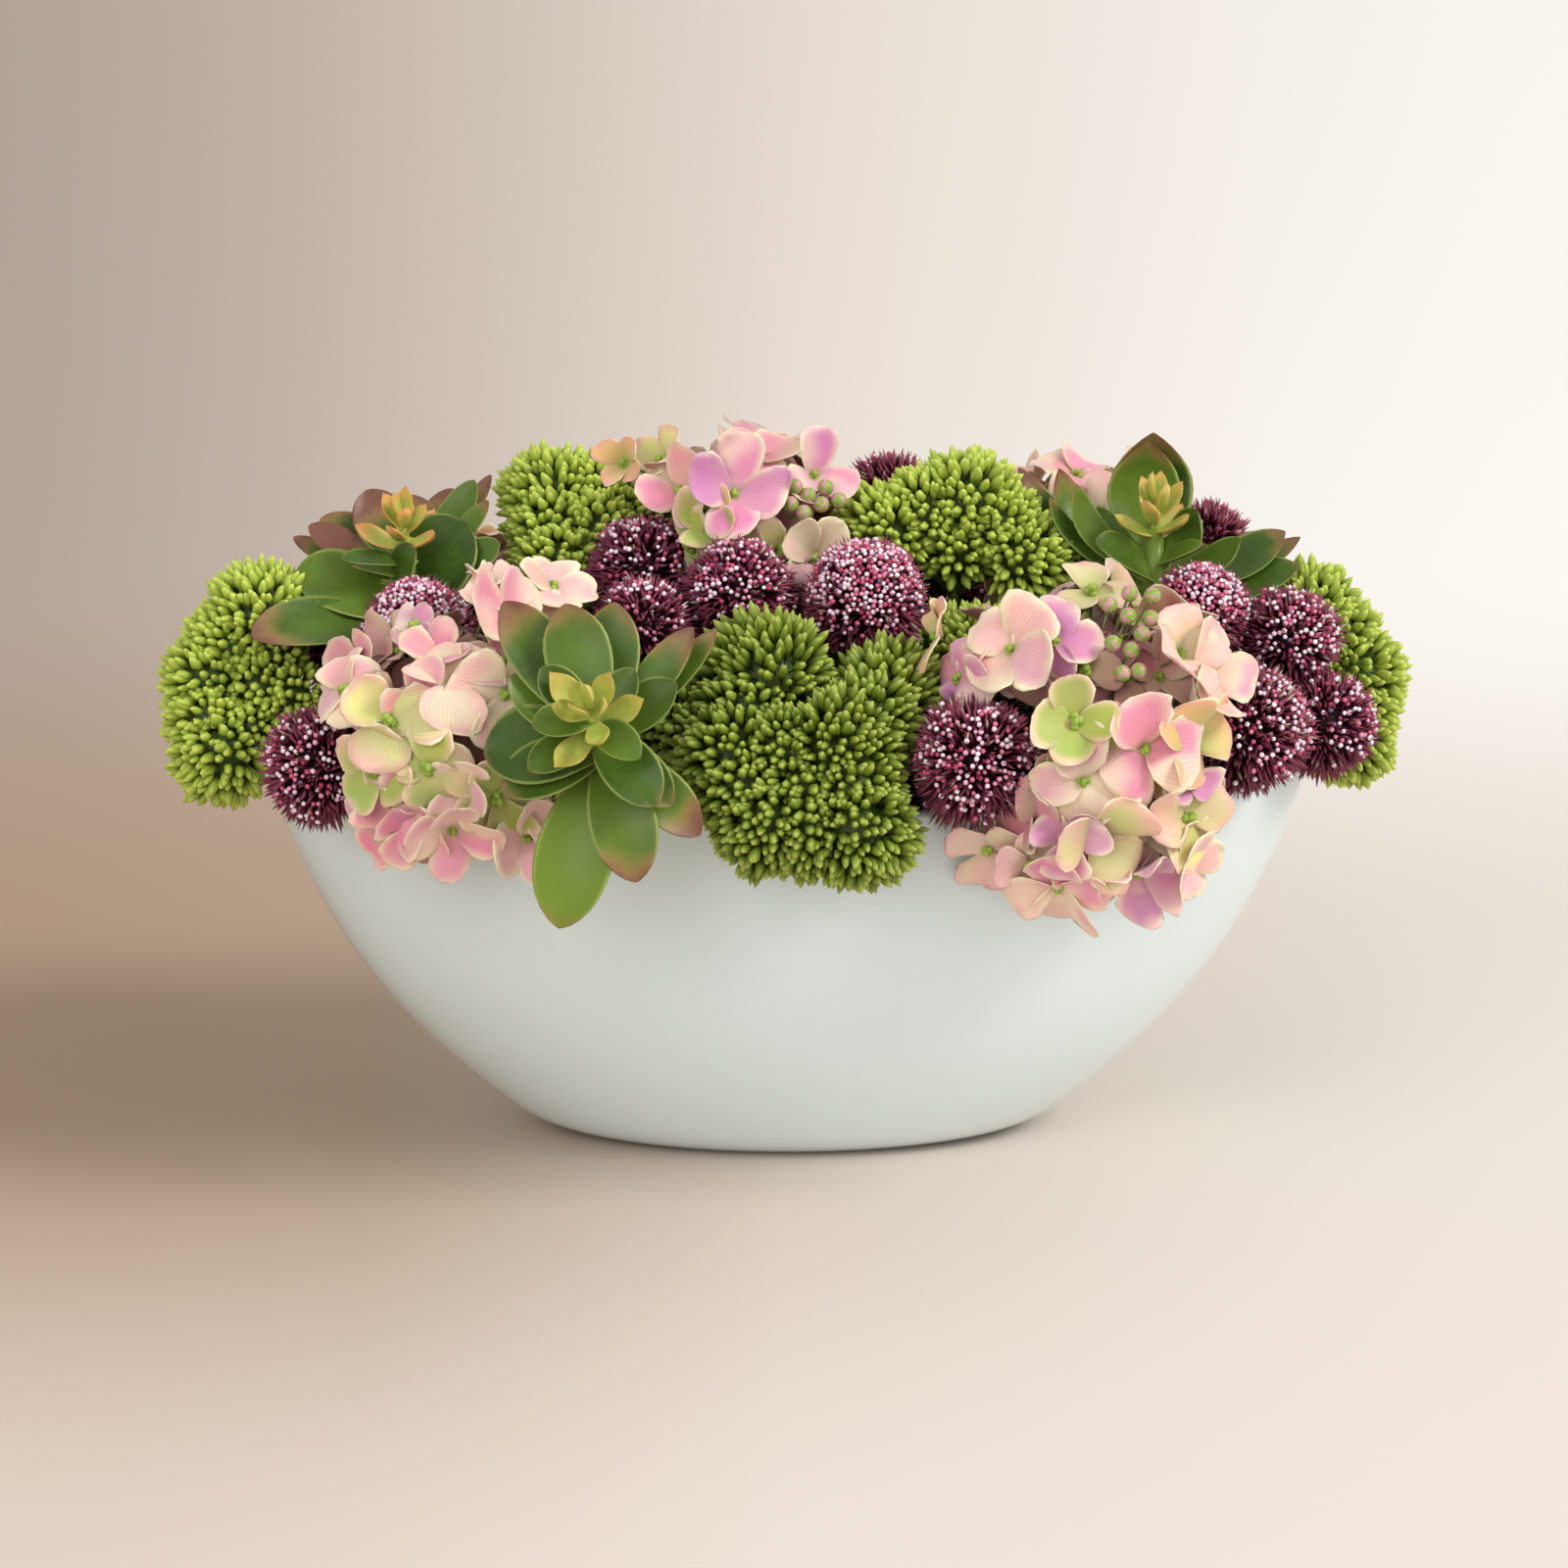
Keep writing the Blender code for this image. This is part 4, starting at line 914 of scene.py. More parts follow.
def add_core(
    parts, heads, centre, radius, core_share, pointing, spread, mingle, dice, opened=None, painted_light=0.0,
):
    """A small ball that says, point by point, which way its flowers face, how long they are and how dense.

    Its patch value is 1 on the side where it has opened, or the same painted light all over.
    """
    sides, rings = CORE_SIDES, CORE_RINGS
    planes = heads.planes(centre, radius * MM, mingle)
    core = radius * core_share
    turn = pointing.to_track_quat("Z", "Y").to_matrix()
    origin = centre - pointing * (spread * radius * MM)
    points, out, reach, share, patch = [], [], [], [], []
    phase = dice.uniform(0, 6)
    for ring in range(rings + 1):
        rise = math.pi / 2 - math.pi * ring / rings
        for side in range(1 if ring in (0, rings) else sides):
            around = 2 * math.pi * side / sides
            flat = math.cos(rise)
            direction = turn @ Vector((flat * math.cos(around), flat * math.sin(around), math.sin(rise)))
            point = centre + direction * (core * MM)
            lump = 1 + CORE_LUMPS[0] * math.sin(3 * around + phase) * flat
            lump += CORE_LUMPS[1] * math.sin(5 * rise + phase * 2)
            allowed = heads.reach(centre, radius * MM * lump, direction, planes)
            if opened is None:
                patch.append(painted_light)
            else:
                ragged = math.sin(7 * direction.x + phase) * math.cos(6 * direction.z - phase)
                facing = direction.dot(opened) + OPENED_RAGGED * ragged
                patch.append(min(max((facing - OPENED_FROM) / OPENED_FROM, 0), 1))
            points.append(point)
            out.append((point - origin).normalized())
            reach.append(max(allowed - core * MM, 0))
            cover = direction.dot(pointing)
            bare = allowed < core * MM * CORE_MARGIN
            share.append(0.0 if bare else min(max((cover - BARE_BELOW) / BARE_FADE, 0), 1))
    faces = []
    last = len(points) - 1
    for side in range(sides):
        after = (side + 1) % sides
        faces.append((0, 1 + side, 1 + after))
        for ring in range(rings - 2):
            high, low = 1 + ring * sides, 1 + (ring + 1) * sides
            faces.append((high + side, low + side, low + after, high + after))
        foot = 1 + (rings - 2) * sides
        faces.append((foot + after, foot + side, last))
    parts.add(points, faces, out=[tuple(step) for step in out], reach=reach, share=share, patch=patch)


def profile_shape(name, rows, sides):
    """A unit shape turned about Z: rows are (height, radius), with a point at both ends."""
    parts = Parts("along")
    points, along = [Vector((0, 0, rows[0][0]))], [rows[0][0]]
    for height, radius in rows[1:-1]:
        for side in range(sides):
            turn = 2 * math.pi * side / sides
            points.append(Vector((radius * math.cos(turn), radius * math.sin(turn), height)))
            along.append(height)
    points.append(Vector((0, 0, rows[-1][0])))
    along.append(rows[-1][0])
    parts.add(points, closed_faces(len(rows) - 2, sides), along=along)
    return show(name, parts.mesh(name))


def grown_tree(name, words):
    """Geometry nodes that stand one shape for each word all over the incoming surface.

    The surface says which way they face (out), how long they may be (reach) and how dense (share).
    """
    tree = bpy.data.node_groups.new(name, "GeometryNodeTree")

    def socket(title, kind):
        tree.interface.new_socket(name=title, in_out="INPUT", socket_type=f"NodeSocket{kind}")

    socket("Surface", "Geometry")
    tree.interface.new_socket(name="Flowers", in_out="OUTPUT", socket_type="NodeSocketGeometry")
    socket("Finish", "Material")
    socket("Seed", "Int")
    for word in words:
        socket(f"{word} Shape", "Object")
        for size in ("Spacing", "Length", "Stretch", "Width", "Lift", "Tilt", "Cover", "Patchy"):
            socket(f"{word} {size}", "Float")
    given = put(tree, "NodeGroupInput").outputs

    def number(title):
        return put(tree, "GeometryNodeInputNamedAttribute", {"Name": title}, data_type="FLOAT").outputs[0]

    def sum_of(operation, first, second):
        return maths(tree, operation, first, second)

    def scaled(step, size):
        return put(tree, "ShaderNodeVectorMath", {0: step, "Scale": size}, operation="SCALE").outputs[0]

    def drawn(low, high, turn):
        seed = sum_of("ADD", given["Seed"], turn)
        made = put(tree, "FunctionNodeRandomValue", {2: low, 3: high, "Seed": seed}, data_type="FLOAT")
        return made.outputs[1]

    joined = put(tree, "GeometryNodeJoinGeometry")
    tree.links.new(given["Surface"], joined.inputs[0])
    out = put(tree, "GeometryNodeInputNamedAttribute", {"Name": "out"}, data_type="FLOAT_VECTOR").outputs[0]
    for step, word in enumerate(words, 1):
        spacing = given[f"{word} Spacing"]
        dense = sum_of("DIVIDE", TRIES, sum_of("MULTIPLY", spacing, spacing))
        patchy = sum_of("MULTIPLY", sum_of("SUBTRACT", 1.0, number("patch")), given[f"{word} Patchy"])
        cover = sum_of("MULTIPLY", given[f"{word} Cover"], sum_of("SUBTRACT", 1.0, patchy))
        factor = sum_of("MULTIPLY", number("share"), cover)
        spread = put(
            tree, "GeometryNodeDistributePointsOnFaces",
            {
                "Mesh": given["Surface"], "Distance Min": spacing, "Density Max": dense,
                "Density Factor": factor, "Seed": sum_of("ADD", given["Seed"], step * 10),
            },
            distribute_method="POISSON",
        )
        reach = number("reach")
        seed = sum_of("ADD", given["Seed"], step * 10 + 1)
        sway = put(
            tree, "FunctionNodeRandomValue", {0: (-1, -1, -1), 1: (1, 1, 1), "Seed": seed},
            data_type="FLOAT_VECTOR",
        ).outputs[0]
        sway = scaled(sway, given[f"{word} Tilt"])
        facing = put(tree, "ShaderNodeVectorMath", {0: out, 1: sway}, operation="ADD").outputs[0]
        height = sum_of("MULTIPLY", given[f"{word} Lift"], reach)
        height = sum_of("MULTIPLY", height, drawn(*HEIGHT_RANGE, step + 40))
        points = put(
            tree, "GeometryNodeSetPosition",
            {"Geometry": spread.outputs["Points"], "Offset": scaled(out, height)},
        )
        for title, value in (("kind", float(step)), ("tone", drawn(0, 1, step + 20))):
            points = put(
                tree, "GeometryNodeStoreNamedAttribute",
                {"Geometry": points.outputs[0], "Name": title, "Value": value},
                data_type="FLOAT", domain="POINT",
            )
        turned = put(tree, "FunctionNodeAlignRotationToVector", {"Vector": facing}, axis="Z").outputs[0]
        girth = sum_of("MULTIPLY", given[f"{word} Width"], drawn(*GIRTH_RANGE, step + 50))
        long = sum_of("MULTIPLY", given[f"{word} Stretch"], reach)
        long = sum_of("ADD", long, given[f"{word} Length"])
        long = sum_of("MULTIPLY", long, drawn(*LENGTH_RANGE, step + 60))
        scale = put(tree, "ShaderNodeCombineXYZ", {0: girth, 1: girth, 2: long}).outputs[0]
        shape = put(tree, "GeometryNodeObjectInfo", {"Object": given[f"{word} Shape"]}).outputs["Geometry"]
        standing = put(
            tree, "GeometryNodeInstanceOnPoints",
            {"Points": points.outputs[0], "Instance": shape, "Rotation": turned, "Scale": scale},
        )
        tree.links.new(standing.outputs[0], joined.inputs[0])
    real = put(tree, "GeometryNodeRealizeInstances", {0: joined.outputs[0]})
    smooth = put(tree, "GeometryNodeSetShadeSmooth", {0: real.outputs[0]})
    painted = put(tree, "GeometryNodeSetMaterial", {0: smooth.outputs[0], "Material": given["Finish"]})
    end = put(tree, "NodeGroupOutput")
    tree.links.new(painted.outputs[0], end.inputs[0])
    return tree


def grown(name, parts, tree, values):
    """The surface with its flowers grown on it, as a plain mesh."""
    obj = show(name, parts.mesh(name))
    growth = obj.modifiers.new("growth", "NODES")
    growth.node_group = tree
    titles = {item.name: item.identifier for item in tree.interface.items_tree}
    for title, value in values.items():
        growth[titles[title]] = value
    return plain_mesh(obj)


def sizes(word, shape, spacing, width, length=0.0, stretch=0.0, lift=0.0, tilt=0.0, cover=1.0, patchy=0.0):
    """The tree's inputs for one kind of flower. Stretch and lift are shares of the reach."""
    return {
        f"{word} Shape": shape, f"{word} Spacing": spacing * MM, f"{word} Length": length * MM,
        f"{word} Stretch": stretch, f"{word} Width": width * MM, f"{word} Lift": lift,
        f"{word} Tilt": tilt, f"{word} Cover": cover, f"{word} Patchy": patchy,
    }


def make_moss():
    """An uneven cushion of moss on the foam, with short tufts all over its top."""
    made = moss_finish()
    phase = random.Random(MOSS_SEED).uniform(0, 6)
    points, faces, share = [], [], []
    for under in (False, True):
        start = len(points)
        for ring in range(MOSS_RINGS + 1):
            out = 1 - ring / MOSS_RINGS
            for side in range(1 if ring == MOSS_RINGS else MOSS_SIDES):
                turn = 2 * math.pi * side / MOSS_SIDES
                x, y = MOSS_HALVES[0] * out * math.cos(turn), MOSS_HALVES[1] * out * math.sin(turn)
                lump = math.sin(x / 13 + phase) * math.cos(y / 11 - phase) + math.sin(x / 31 - y / 23)
                swell = MOSS_SWELL * (1 - out**4) * (0.7 + 0.3 * lump)
                points.append(mm((x, y, FOAM_TOP - MOSS_UNDER if under else FOAM_TOP + swell)))
                share.append(0.0 if under else 1.0)
        centre = len(points) - 1
        for ring in range(MOSS_RINGS):
            for side in range(MOSS_SIDES):
                after = (side + 1) % MOSS_SIDES
                outer, inner = start + ring * MOSS_SIDES, start + (ring + 1) * MOSS_SIDES
                face = [outer + side, outer + after, inner + after, inner + side]
                if ring == MOSS_RINGS - 1:
                    face = [outer + side, outer + after, centre]
                faces.append(face[::-1] if under else face)
    low = MOSS_RINGS * MOSS_SIDES + 1
    for side in range(MOSS_SIDES):
        after = (side + 1) % MOSS_SIDES
        faces.append([low + side, low + after, after, side])
    parts = Parts(*GROWING)
    parts.add(points, faces, out=(0.0, 0.0, 1.0), share=share)
    tuft = profile_shape("tuft_shape", ((0, 0), (0.2, 0.8), (0.6, 1.0), (1, 0)), 3)
    tufts = sizes("Tuft", tuft, spacing=4.3, width=1.5, length=6.0, tilt=0.8)
    values = {"Finish": made, "Seed": MOSS_SEED, **tufts}
    moss = show("moss_bed", grown("moss", parts, grown_tree("tufts", ("Tuft",)), values))
    bpy.data.objects.remove(tuft)
    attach(moss, "root")


def make_alliums(heads, stem):
    made = allium_finish()
    tree = grown_tree("bristles_and_beads", ("Bristle", "Bead"))
    bristle = profile_shape("bristle_shape", ((0, 0), (0.05, 0.4), (0.55, 1.0), (1, 0)), 3)
    bead = profile_shape("bead_shape", ((-1, 0), (-0.45, 0.9), (0.45, 0.9), (1, 0)), 5)
    for number, (centre, radius, entry, beads) in enumerate(ALLIUMS, 1):
        middle = mm(centre)
        dice = random.Random(number)
        pointing = arrival_of(entry, middle)
        core = radius * ALLIUM_CORE_SHARE
        parts = Parts(*GROWING)
        viewer = Vector((0, -1 if centre[1] < BACK_ROW else 1, OPENED_RISE))
        opened = (pointing + viewer * OPENED_TURN).normalized()
        add_core(parts, heads, middle, radius, ALLIUM_CORE_SHARE, pointing, 0.0, BALL_MINGLE, dice, opened)
        values = {
            "Finish": made, "Seed": number * 100,
            **sizes("Bristle", bristle, spacing=1.35, width=1.05, length=1.6, stretch=1.06, tilt=0.44),
            **sizes("Bead", bead, spacing=1.15 if beads == 1 else 1.3, width=1.2, length=1.2, lift=0.97,
                    cover=beads, patchy=0.92),
        }
        ball = grown("allium_ball", parts, tree, values)
        turn = f"{number:02d}"
        stands_for(f"allium_flower_{turn}", ball, made, "allium_purple", f"allium_ball_{turn}")
        make_stem(f"allium_stalk_{turn}", f"allium_stem_{turn}", entry, middle, core * 0.8, stem)
    for shape in (bristle, bead):
        bpy.data.objects.remove(shape)


def make_sedums(heads):
    made = sedum_finish()
    tree = grown_tree("buds", ("Bud",))
    rows = ((0, 0), (0.30, 0.28), (0.48, 0.84), (0.64, 1.0), (0.86, 0.60), (1, 0))
    bud = profile_shape("bud_shape", rows, 5)
    for turn, (place, (fork, entry, umbels)) in enumerate(SEDUMS.items(), 1):
        dice = random.Random(turn + 50)
        parts = Parts(*GROWING)
        end = mm(fork)
        rise = Vector((0, 0, 1))
        add_stem(parts, entry, end, rise, out=(0.0, 0.0, 1.0))
        for middle, radius in all_umbels(fork, umbels):
            root = end - rise * (4 * MM)
            route = [root, root.lerp(middle, 0.5), middle]
            add_tube(parts, route, STALK_RADII, STALK_SIDES, out=(0.0, 0.0, 1.0))
            pointing = (middle - end).normalized()
            # Each umbel's patch value is its cluster's painted light.
            add_core(
                parts, heads, middle, radius / MM, SEDUM_CORE_SHARE, pointing, UMBEL_SPREAD, UMBEL_MINGLE,
                dice, painted_light=CLUSTER_PAINTED_LIGHT[place],
            )
        values = {
            "Finish": made, "Seed": turn * 1000,
            **sizes("Bud", bud, spacing=2.2, width=2.3, stretch=1.02, tilt=0.26),
        }
        cluster = grown("sedum_cluster", parts, tree, values)
        stands_for(f"sedum_cluster_{place}", cluster, made, "sedum_green", f"sedum_{place}")
    bpy.data.objects.remove(bud)


# Hydrangea


def add_petal(parts, place, turn, length, width, cup, fine, dice, **likeness):
    """One broad petal from its narrow foot to its rounded tip: two faces that meet at a frilled margin."""
    rise, curl = cup
    rise += dice.uniform(-0.12, 0.12)
    curl += dice.uniform(-0.15, 0.10)
    hollow = dice.uniform(-0.3, 0.9)
    fold = dice.uniform(-0.12, 0.28)
    crease = dice.uniform(0.015, 0.045)
    frill = dice.uniform(0.03, 0.10)
    waves = dice.uniform(5, 9)
    twist = dice.uniform(-0.6, 0.6)
    phase = dice.uniform(0, 6)
    lean = dice.uniform(-0.15, 0.15)
    blunt = dice.uniform(0.36, 0.55)
    rows, columns = PETAL_ROWS[fine], PETAL_COLUMNS[fine]

    def spot(u, v, fray):
        half = width / 2 * 2.1 * u**0.7 * (1 - u) ** blunt * (1 + fray)
        edge = max(abs(v) ** 3, u**5)
        x = length * u + lean * half * v
        y = half * v + lean * length * u * u
        z = length * (rise * u + curl * u * u) + hollow * y * y / width
        z += frill * length * edge * math.sin(waves * (u + 0.35 * v) + phase) + fold * half * abs(v)
        z += crease * length * u * math.sin(9 * u + 3 * v + phase) * math.cos(4 * v - 2 * phase)
        return Vector((x, y, z + twist * u * y))

    points, rim, along, across = [], [], [], []

    def add(point, u, v, edge):
        points.append(place + turn @ point)
        rim.append(edge)
        along.append(u)
        across.append(v)
        return len(points) - 1

    sheet = Vector((0, 0, FLORET_THICKNESS / 2 * MM))
    foot = add(spot(0, 0, 0), 0, 0, 0.3)
    tip = add(spot(1, 0, 0), 1, 0, 1.0)
    top, low = [], []
    for row in range(1, rows):
        u = (1 - math.cos(math.pi * row / rows)) / 2
        upper, under = [], []
        for column in range(columns + 1):
            v = math.sin(math.pi * (column / columns - 0.5))
            outer = column in (0, columns)
            fray = dice.uniform(-0.07, 0.05) if outer else 0
            point = spot(u, v, fray)
            edge = max(abs(v), u * u)
            if outer:
                number = add(point, u, v, edge)
                upper.append(number)
                under.append(number)
            else:
                upper.append(add(point + sheet, u, v, edge))
                under.append(add(point - sheet, u, v, edge))
        top.append(upper)
        low.append(under)
    faces = []
    for column in range(columns):
        after = column + 1
        faces.append((foot, top[0][column], top[0][after]))
        faces.append((foot, low[0][after], low[0][column]))
        faces.append((tip, top[-1][after], top[-1][column]))
        faces.append((tip, low[-1][column], low[-1][after]))
        for row in range(rows - 2):
            here, beyond = top[row], top[row + 1]
            faces.append((here[column], beyond[column], beyond[after], here[after]))
            here, beyond = low[row], low[row + 1]
            faces.append((here[column], here[after], beyond[after], beyond[column]))
    faces = [tuple(reversed(face)) for face in faces]
    parts.add(points, faces, rim=rim, along=along, across=across, **likeness)


def add_floret(petals, greens, heads, centre, facing, radius, colouring, count, fine, deep, dice):
    """Overlapping petals round a knob of little green balls."""
    body, margin, violet, green = COLOURINGS[colouring]
    frame_turn = facing.to_track_quat("Z", "Y").to_matrix()
    start = dice.uniform(0, 2 * math.pi)
    cup = dice.choice(PETAL_CUPS)
    for number in range(count):
        angle = start + 2 * math.pi * number / count + dice.uniform(-0.15, 0.15)
        turn = frame_turn @ Matrix.Rotation(angle, 3, "Z")
        length = radius * dice.uniform(0.88, 1.06) * MM
        length *= heads.room(centre, turn @ Vector((length, 0, cup[0] * length)))
        if length < radius * 0.5 * MM:
            continue
        width = length * (1.25 if count == 3 else 1.10) * dice.uniform(0.88, 1.10)
        hue = [dice.uniform(-0.05, 0.05) for _ in range(3)]
        shade = dice.uniform(0.88, 1.06)
        tint = tuple(min(max(part * shade + shift, 0.01), 0.95) for part, shift in zip(body, hue))
        add_petal(
            petals, centre + facing * (0.5 * (number % 2) * MM), turn, length, width, cup, fine, dice,
            body_colour=tint, margin_colour=margin, violet=violet * dice.uniform(0.4, 1.3),
            green=green * dice.uniform(0.6, 1.1), deep=deep,
        )
    for number in range(4):
        angle = start + math.pi / 2 * number
        full = KNOB_RADIUS * KNOB_GROWTH.get(colouring, 1.0)
        flat = 0 if number == 3 else full * 0.7
        above = full * (0.7 if number < 3 else 1.4)
        step = Vector((math.cos(angle) * flat, math.sin(angle) * flat, above)) * MM
        size = full * dice.uniform(0.65, 0.8)
        add_ball(greens, centre + frame_turn @ step, size, 6, 4, kind=1.0, tone=dice.random())


def listed(florets):
    """The listed florets, as steps from the head's middle, with a radius and a colouring."""
    return [
        (seen(right, up, out), radius * FULLNESS, colouring)
        for right, up, out, radius, colouring in florets
    ]


def filling(heads, middle, outer, dice):
    """Smaller florets between and behind the outer ones."""
    found = []
    for (one, _, _), (other, _, _) in itertools.combinations(outer, 2):
        step = (one + other) * (0.5 * dice.uniform(0.84, 1.0))
        close = min((step - near).length for near, _, _ in outer + found)
        if (other - one).length < FLORETS_MEET * MM and close > FLORETS_APART * MM:
            found.append((step, dice.uniform(*SMALL_RADII), dice.choice(FILLING_COLOURINGS)))
    for number in range(FILLING_FLORETS):
        height = 1 - 1.6 * (number + 0.5) / FILLING_FLORETS
        flat = math.sqrt(1 - height * height)
        around = GOLDEN_TURN * number
        direction = Vector((math.cos(around) * flat, math.sin(around) * flat, height))
        nearest = max(direction.dot(step.normalized()) for step, _, _ in outer)
        deep = FILLING_DEPTHS[0] if nearest > FILLING_NEAR else FILLING_DEPTHS[1]
        step = direction * (deep * dice.uniform(0.88, 1.10) * MM)
        if heads.room(middle, step) == 1:
            found.append((step, dice.uniform(*FILLING_RADII), dice.choice(FILLING_COLOURINGS)))
    return found


def make_hydrangeas(heads, stem):
    made, greenery = petal_finish(), floret_stalk_finish()
    for turn, (place, (centre, entry, florets, berries)) in enumerate(HYDRANGEAS.items(), 1):
        dice = random.Random(turn + 200)
        middle = mm(centre)
        arrival = arrival_of(entry, middle)
        petals = Parts("rim", "along", "across", "body_colour", "margin_colour", "violet", "green", "deep")
        greens = Parts("kind", "tone")
        add_ball(greens, middle, 5, 8, 6, kind=0.0)
        viewer = seen(0, 0, 1).normalized()
        outer = listed(florets)
        surface = sum(step.length for step, _, _ in outer) / len(outer) - PAINTED_SHADE_BELOW * MM
        for number, (step, radius, colouring) in enumerate(outer + filling(heads, middle, outer, dice)):
            facing = step.normalized()
            if facing.dot(viewer) > 0:
                facing += viewer * VIEWER_TURN
            facing += Vector([dice.uniform(-FLORET_LEAN, FLORET_LEAN) for _ in range(3)])
            facing.normalize()
            count = 3 if number % 5 in (1, 3) else 4
            fine = number < len(outer)
            # The deeper a floret lies below the head's surface, the more painted shade it gets.
            deep = min(max((surface - step.length) / (PAINTED_SHADE_FADE * MM), 0), 1)
            add_floret(
                petals, greens, heads, middle + step, facing, radius, colouring, count, fine, deep, dice,
            )
            root = middle - arrival * (4 * MM)
            bend = middle + step * 0.45 + arrival * (4 * MM)
            add_tube(greens, [root, bend, middle + step], [1.3, 0.9, 0.7], 5, kind=0.0)
        for right, up, out in berries:
            step = seen(right, up, out)
            add_ball(greens, middle + step, BERRY_RADIUS, 12, 8, kind=2.0, tone=dice.random())
            add_tube(greens, [middle, middle + step], [1.0, 0.6], 5, kind=0.0)
        node = f"hydrangea_{place}"
        stands_for(f"hydrangea_petals_{place}", petals.mesh("petals"), made, "petal_pink", node)
        stands_for(f"hydrangea_greenery_{place}", greens.mesh("greenery"), greenery, "stem_green", node)
        make_stem(f"hydrangea_stalk_{place}", f"hydrangea_stem_{place}", entry, middle, 4, stem)


# Succulents


def add_leaf(parts, root, tip, towards, width, belly, thickness, keel, point, spread=None, **likeness):
    """A fleshy leaf: narrow where it clasps the stem, broad past the middle, and pointed.

    Its middle is bowed by the belly, and by the spread step where there is one.
    """
    along = tip - root
    forward = along.normalized()
    normal = (towards - forward * towards.dot(forward)).normalized()
    side = forward.cross(normal)
    bow = normal * belly + (spread or Vector())
    points, run, across = [root], [0.0], [0.0]
    for step in range(1, LEAF_STEPS):
        share = (1 - math.cos(math.pi * step / LEAF_STEPS)) / 2
        middle = root + along * share + bow * (4 * share * (1 - share))
        slope = (along + bow * (4 * (1 - 2 * share))).normalized()
        above = side.cross(slope) * -1
        if above.dot(normal) < 0:
            above = -above
        if share < LEAF_BROADEST:
            fullness = 0.34 + 0.66 * math.sin(math.pi / 2 * share / LEAF_BROADEST) ** 1.3
        else:
            fullness = (1 - ((share - LEAF_BROADEST) / 0.40) ** 2.3) ** point
        half = width / 2 * fullness
        thick = thickness * (1 - 0.5 * share) * min(1, fullness * 1.4)
        for corner in range(LEAF_SIDES):
            turn = 2 * math.pi * corner / LEAF_SIDES
            reach, bulge = math.cos(turn), math.sin(turn)
            lift = thick * (0.22 if bulge > 0 else 0.78) * bulge
            cupped = half * 0.24 * reach * reach
            place = middle + side * (half * reach) + above * (lift + cupped)
            if keel and bulge < 0:
                place -= above * (thick * keel * (1 - abs(reach)))
            points.append(place)
            run.append(share)
            across.append(reach)
    points.append(tip)
    run.append(1.0)
    across.append(0.0)
    parts.add(points, closed_faces(LEAF_STEPS - 1, LEAF_SIDES), along=run, across=across, **likeness)


def add_shoot(parts, base, rise, size, flush, dice):
    """A young shoot: pointed leaves in a spiral, each smaller and more upright than the last."""
    viewer = seen(0, 0, 1).normalized()
    axis = (rise + viewer * 0.35).normalized()
    side = axis.orthogonal().normalized()
    add_tube(parts, [base, base + axis * (size * 0.5)], [3.0, 1.5], 8, along=0.1)
    for number in range(SHOOT_LEAVES):
        share = number / (SHOOT_LEAVES - 1)
        root = base + axis * (size * (0.06 + 0.46 * share))
        length = size * (0.64 - 0.26 * share) * dice.uniform(0.92, 1.08)
        lean = math.radians(66 - 54 * share)
        outward = Matrix.Rotation(number * GOLDEN_TURN + dice.uniform(-0.2, 0.2), 3, axis) @ side
        tip = root + (outward * math.sin(lean) + axis * math.cos(lean)) * length
        towards = axis + viewer * 0.4 - outward * 0.3
        add_leaf(parts, root, tip, towards, length * 0.44, -0.07 * length, 2.6 * MM, 0.5, 1.35,
                 plum=flush * dice.uniform(0.6, 1.2), tone=dice.random())


def make_succulents():
    green, young = leaf_finish(), heart_finish()
    words = ("along", "across", "plum", "tone")
    to_viewer = seen(0, 0.3, 1).normalized()
    for turn, (place, (foot, growth, entry, leaves)) in enumerate(SUCCULENTS.items(), 1):
        dice = random.Random(turn + 300)
        base = mm(foot)
        axis = seen(*growth)
        rise = axis.normalized()
        top = base + axis * 0.7
        parts = Parts(*words)
        add_stem(parts, entry, base, rise, along=0.1)
        crown = [base - rise * (4 * MM), base, base.lerp(top, 0.5), top]
        add_tube(parts, crown, CROWN_RADII, CROWN_SIDES, along=0.1)
        for (share, right, up, out, width, belly), plum in zip(leaves, PLUM_TIPS[place]):
            root = base + axis * min(share, LEAVES_TOP)
            reach = seen(right, up, out)
            tip = base + reach
            outward = tip - root
            outward -= rise * outward.dot(rise)
            outward.normalize()
            towards = rise if reach.dot(to_viewer) < BACK_LEAF * MM else rise * 0.6 + to_viewer
            start = root - outward * (CROWN_RADII[-1] * MM)
            spread = outward * (LEAF_SPREAD[place] * max((tip - root).dot(rise), 0))
            tone = HANGING_TONE if up < HANGING_LEAF else dice.random()
            add_leaf(
                parts, start, tip, towards, width * LEAF_FULLNESS * MM, belly * MM, LEAF_THICKNESS * MM,
                0.0, LEAF_POINTS[place], spread, plum=plum, tone=tone,
            )
        node = f"succulent_{place}"
        stands_for(f"succulent_leaves_{place}", parts.mesh("leaves"), green, "leaf_green", node)
        parts = Parts(*words)
        share, size = HEARTS[place]
        add_shoot(parts, base + axis * share, rise, size * MM, HEART_FLUSH[place], dice)
        stands_for(f"succulent_young_{place}", parts.mesh("young"), young, "heart_yellow", f"{node}_heart")


# Studio


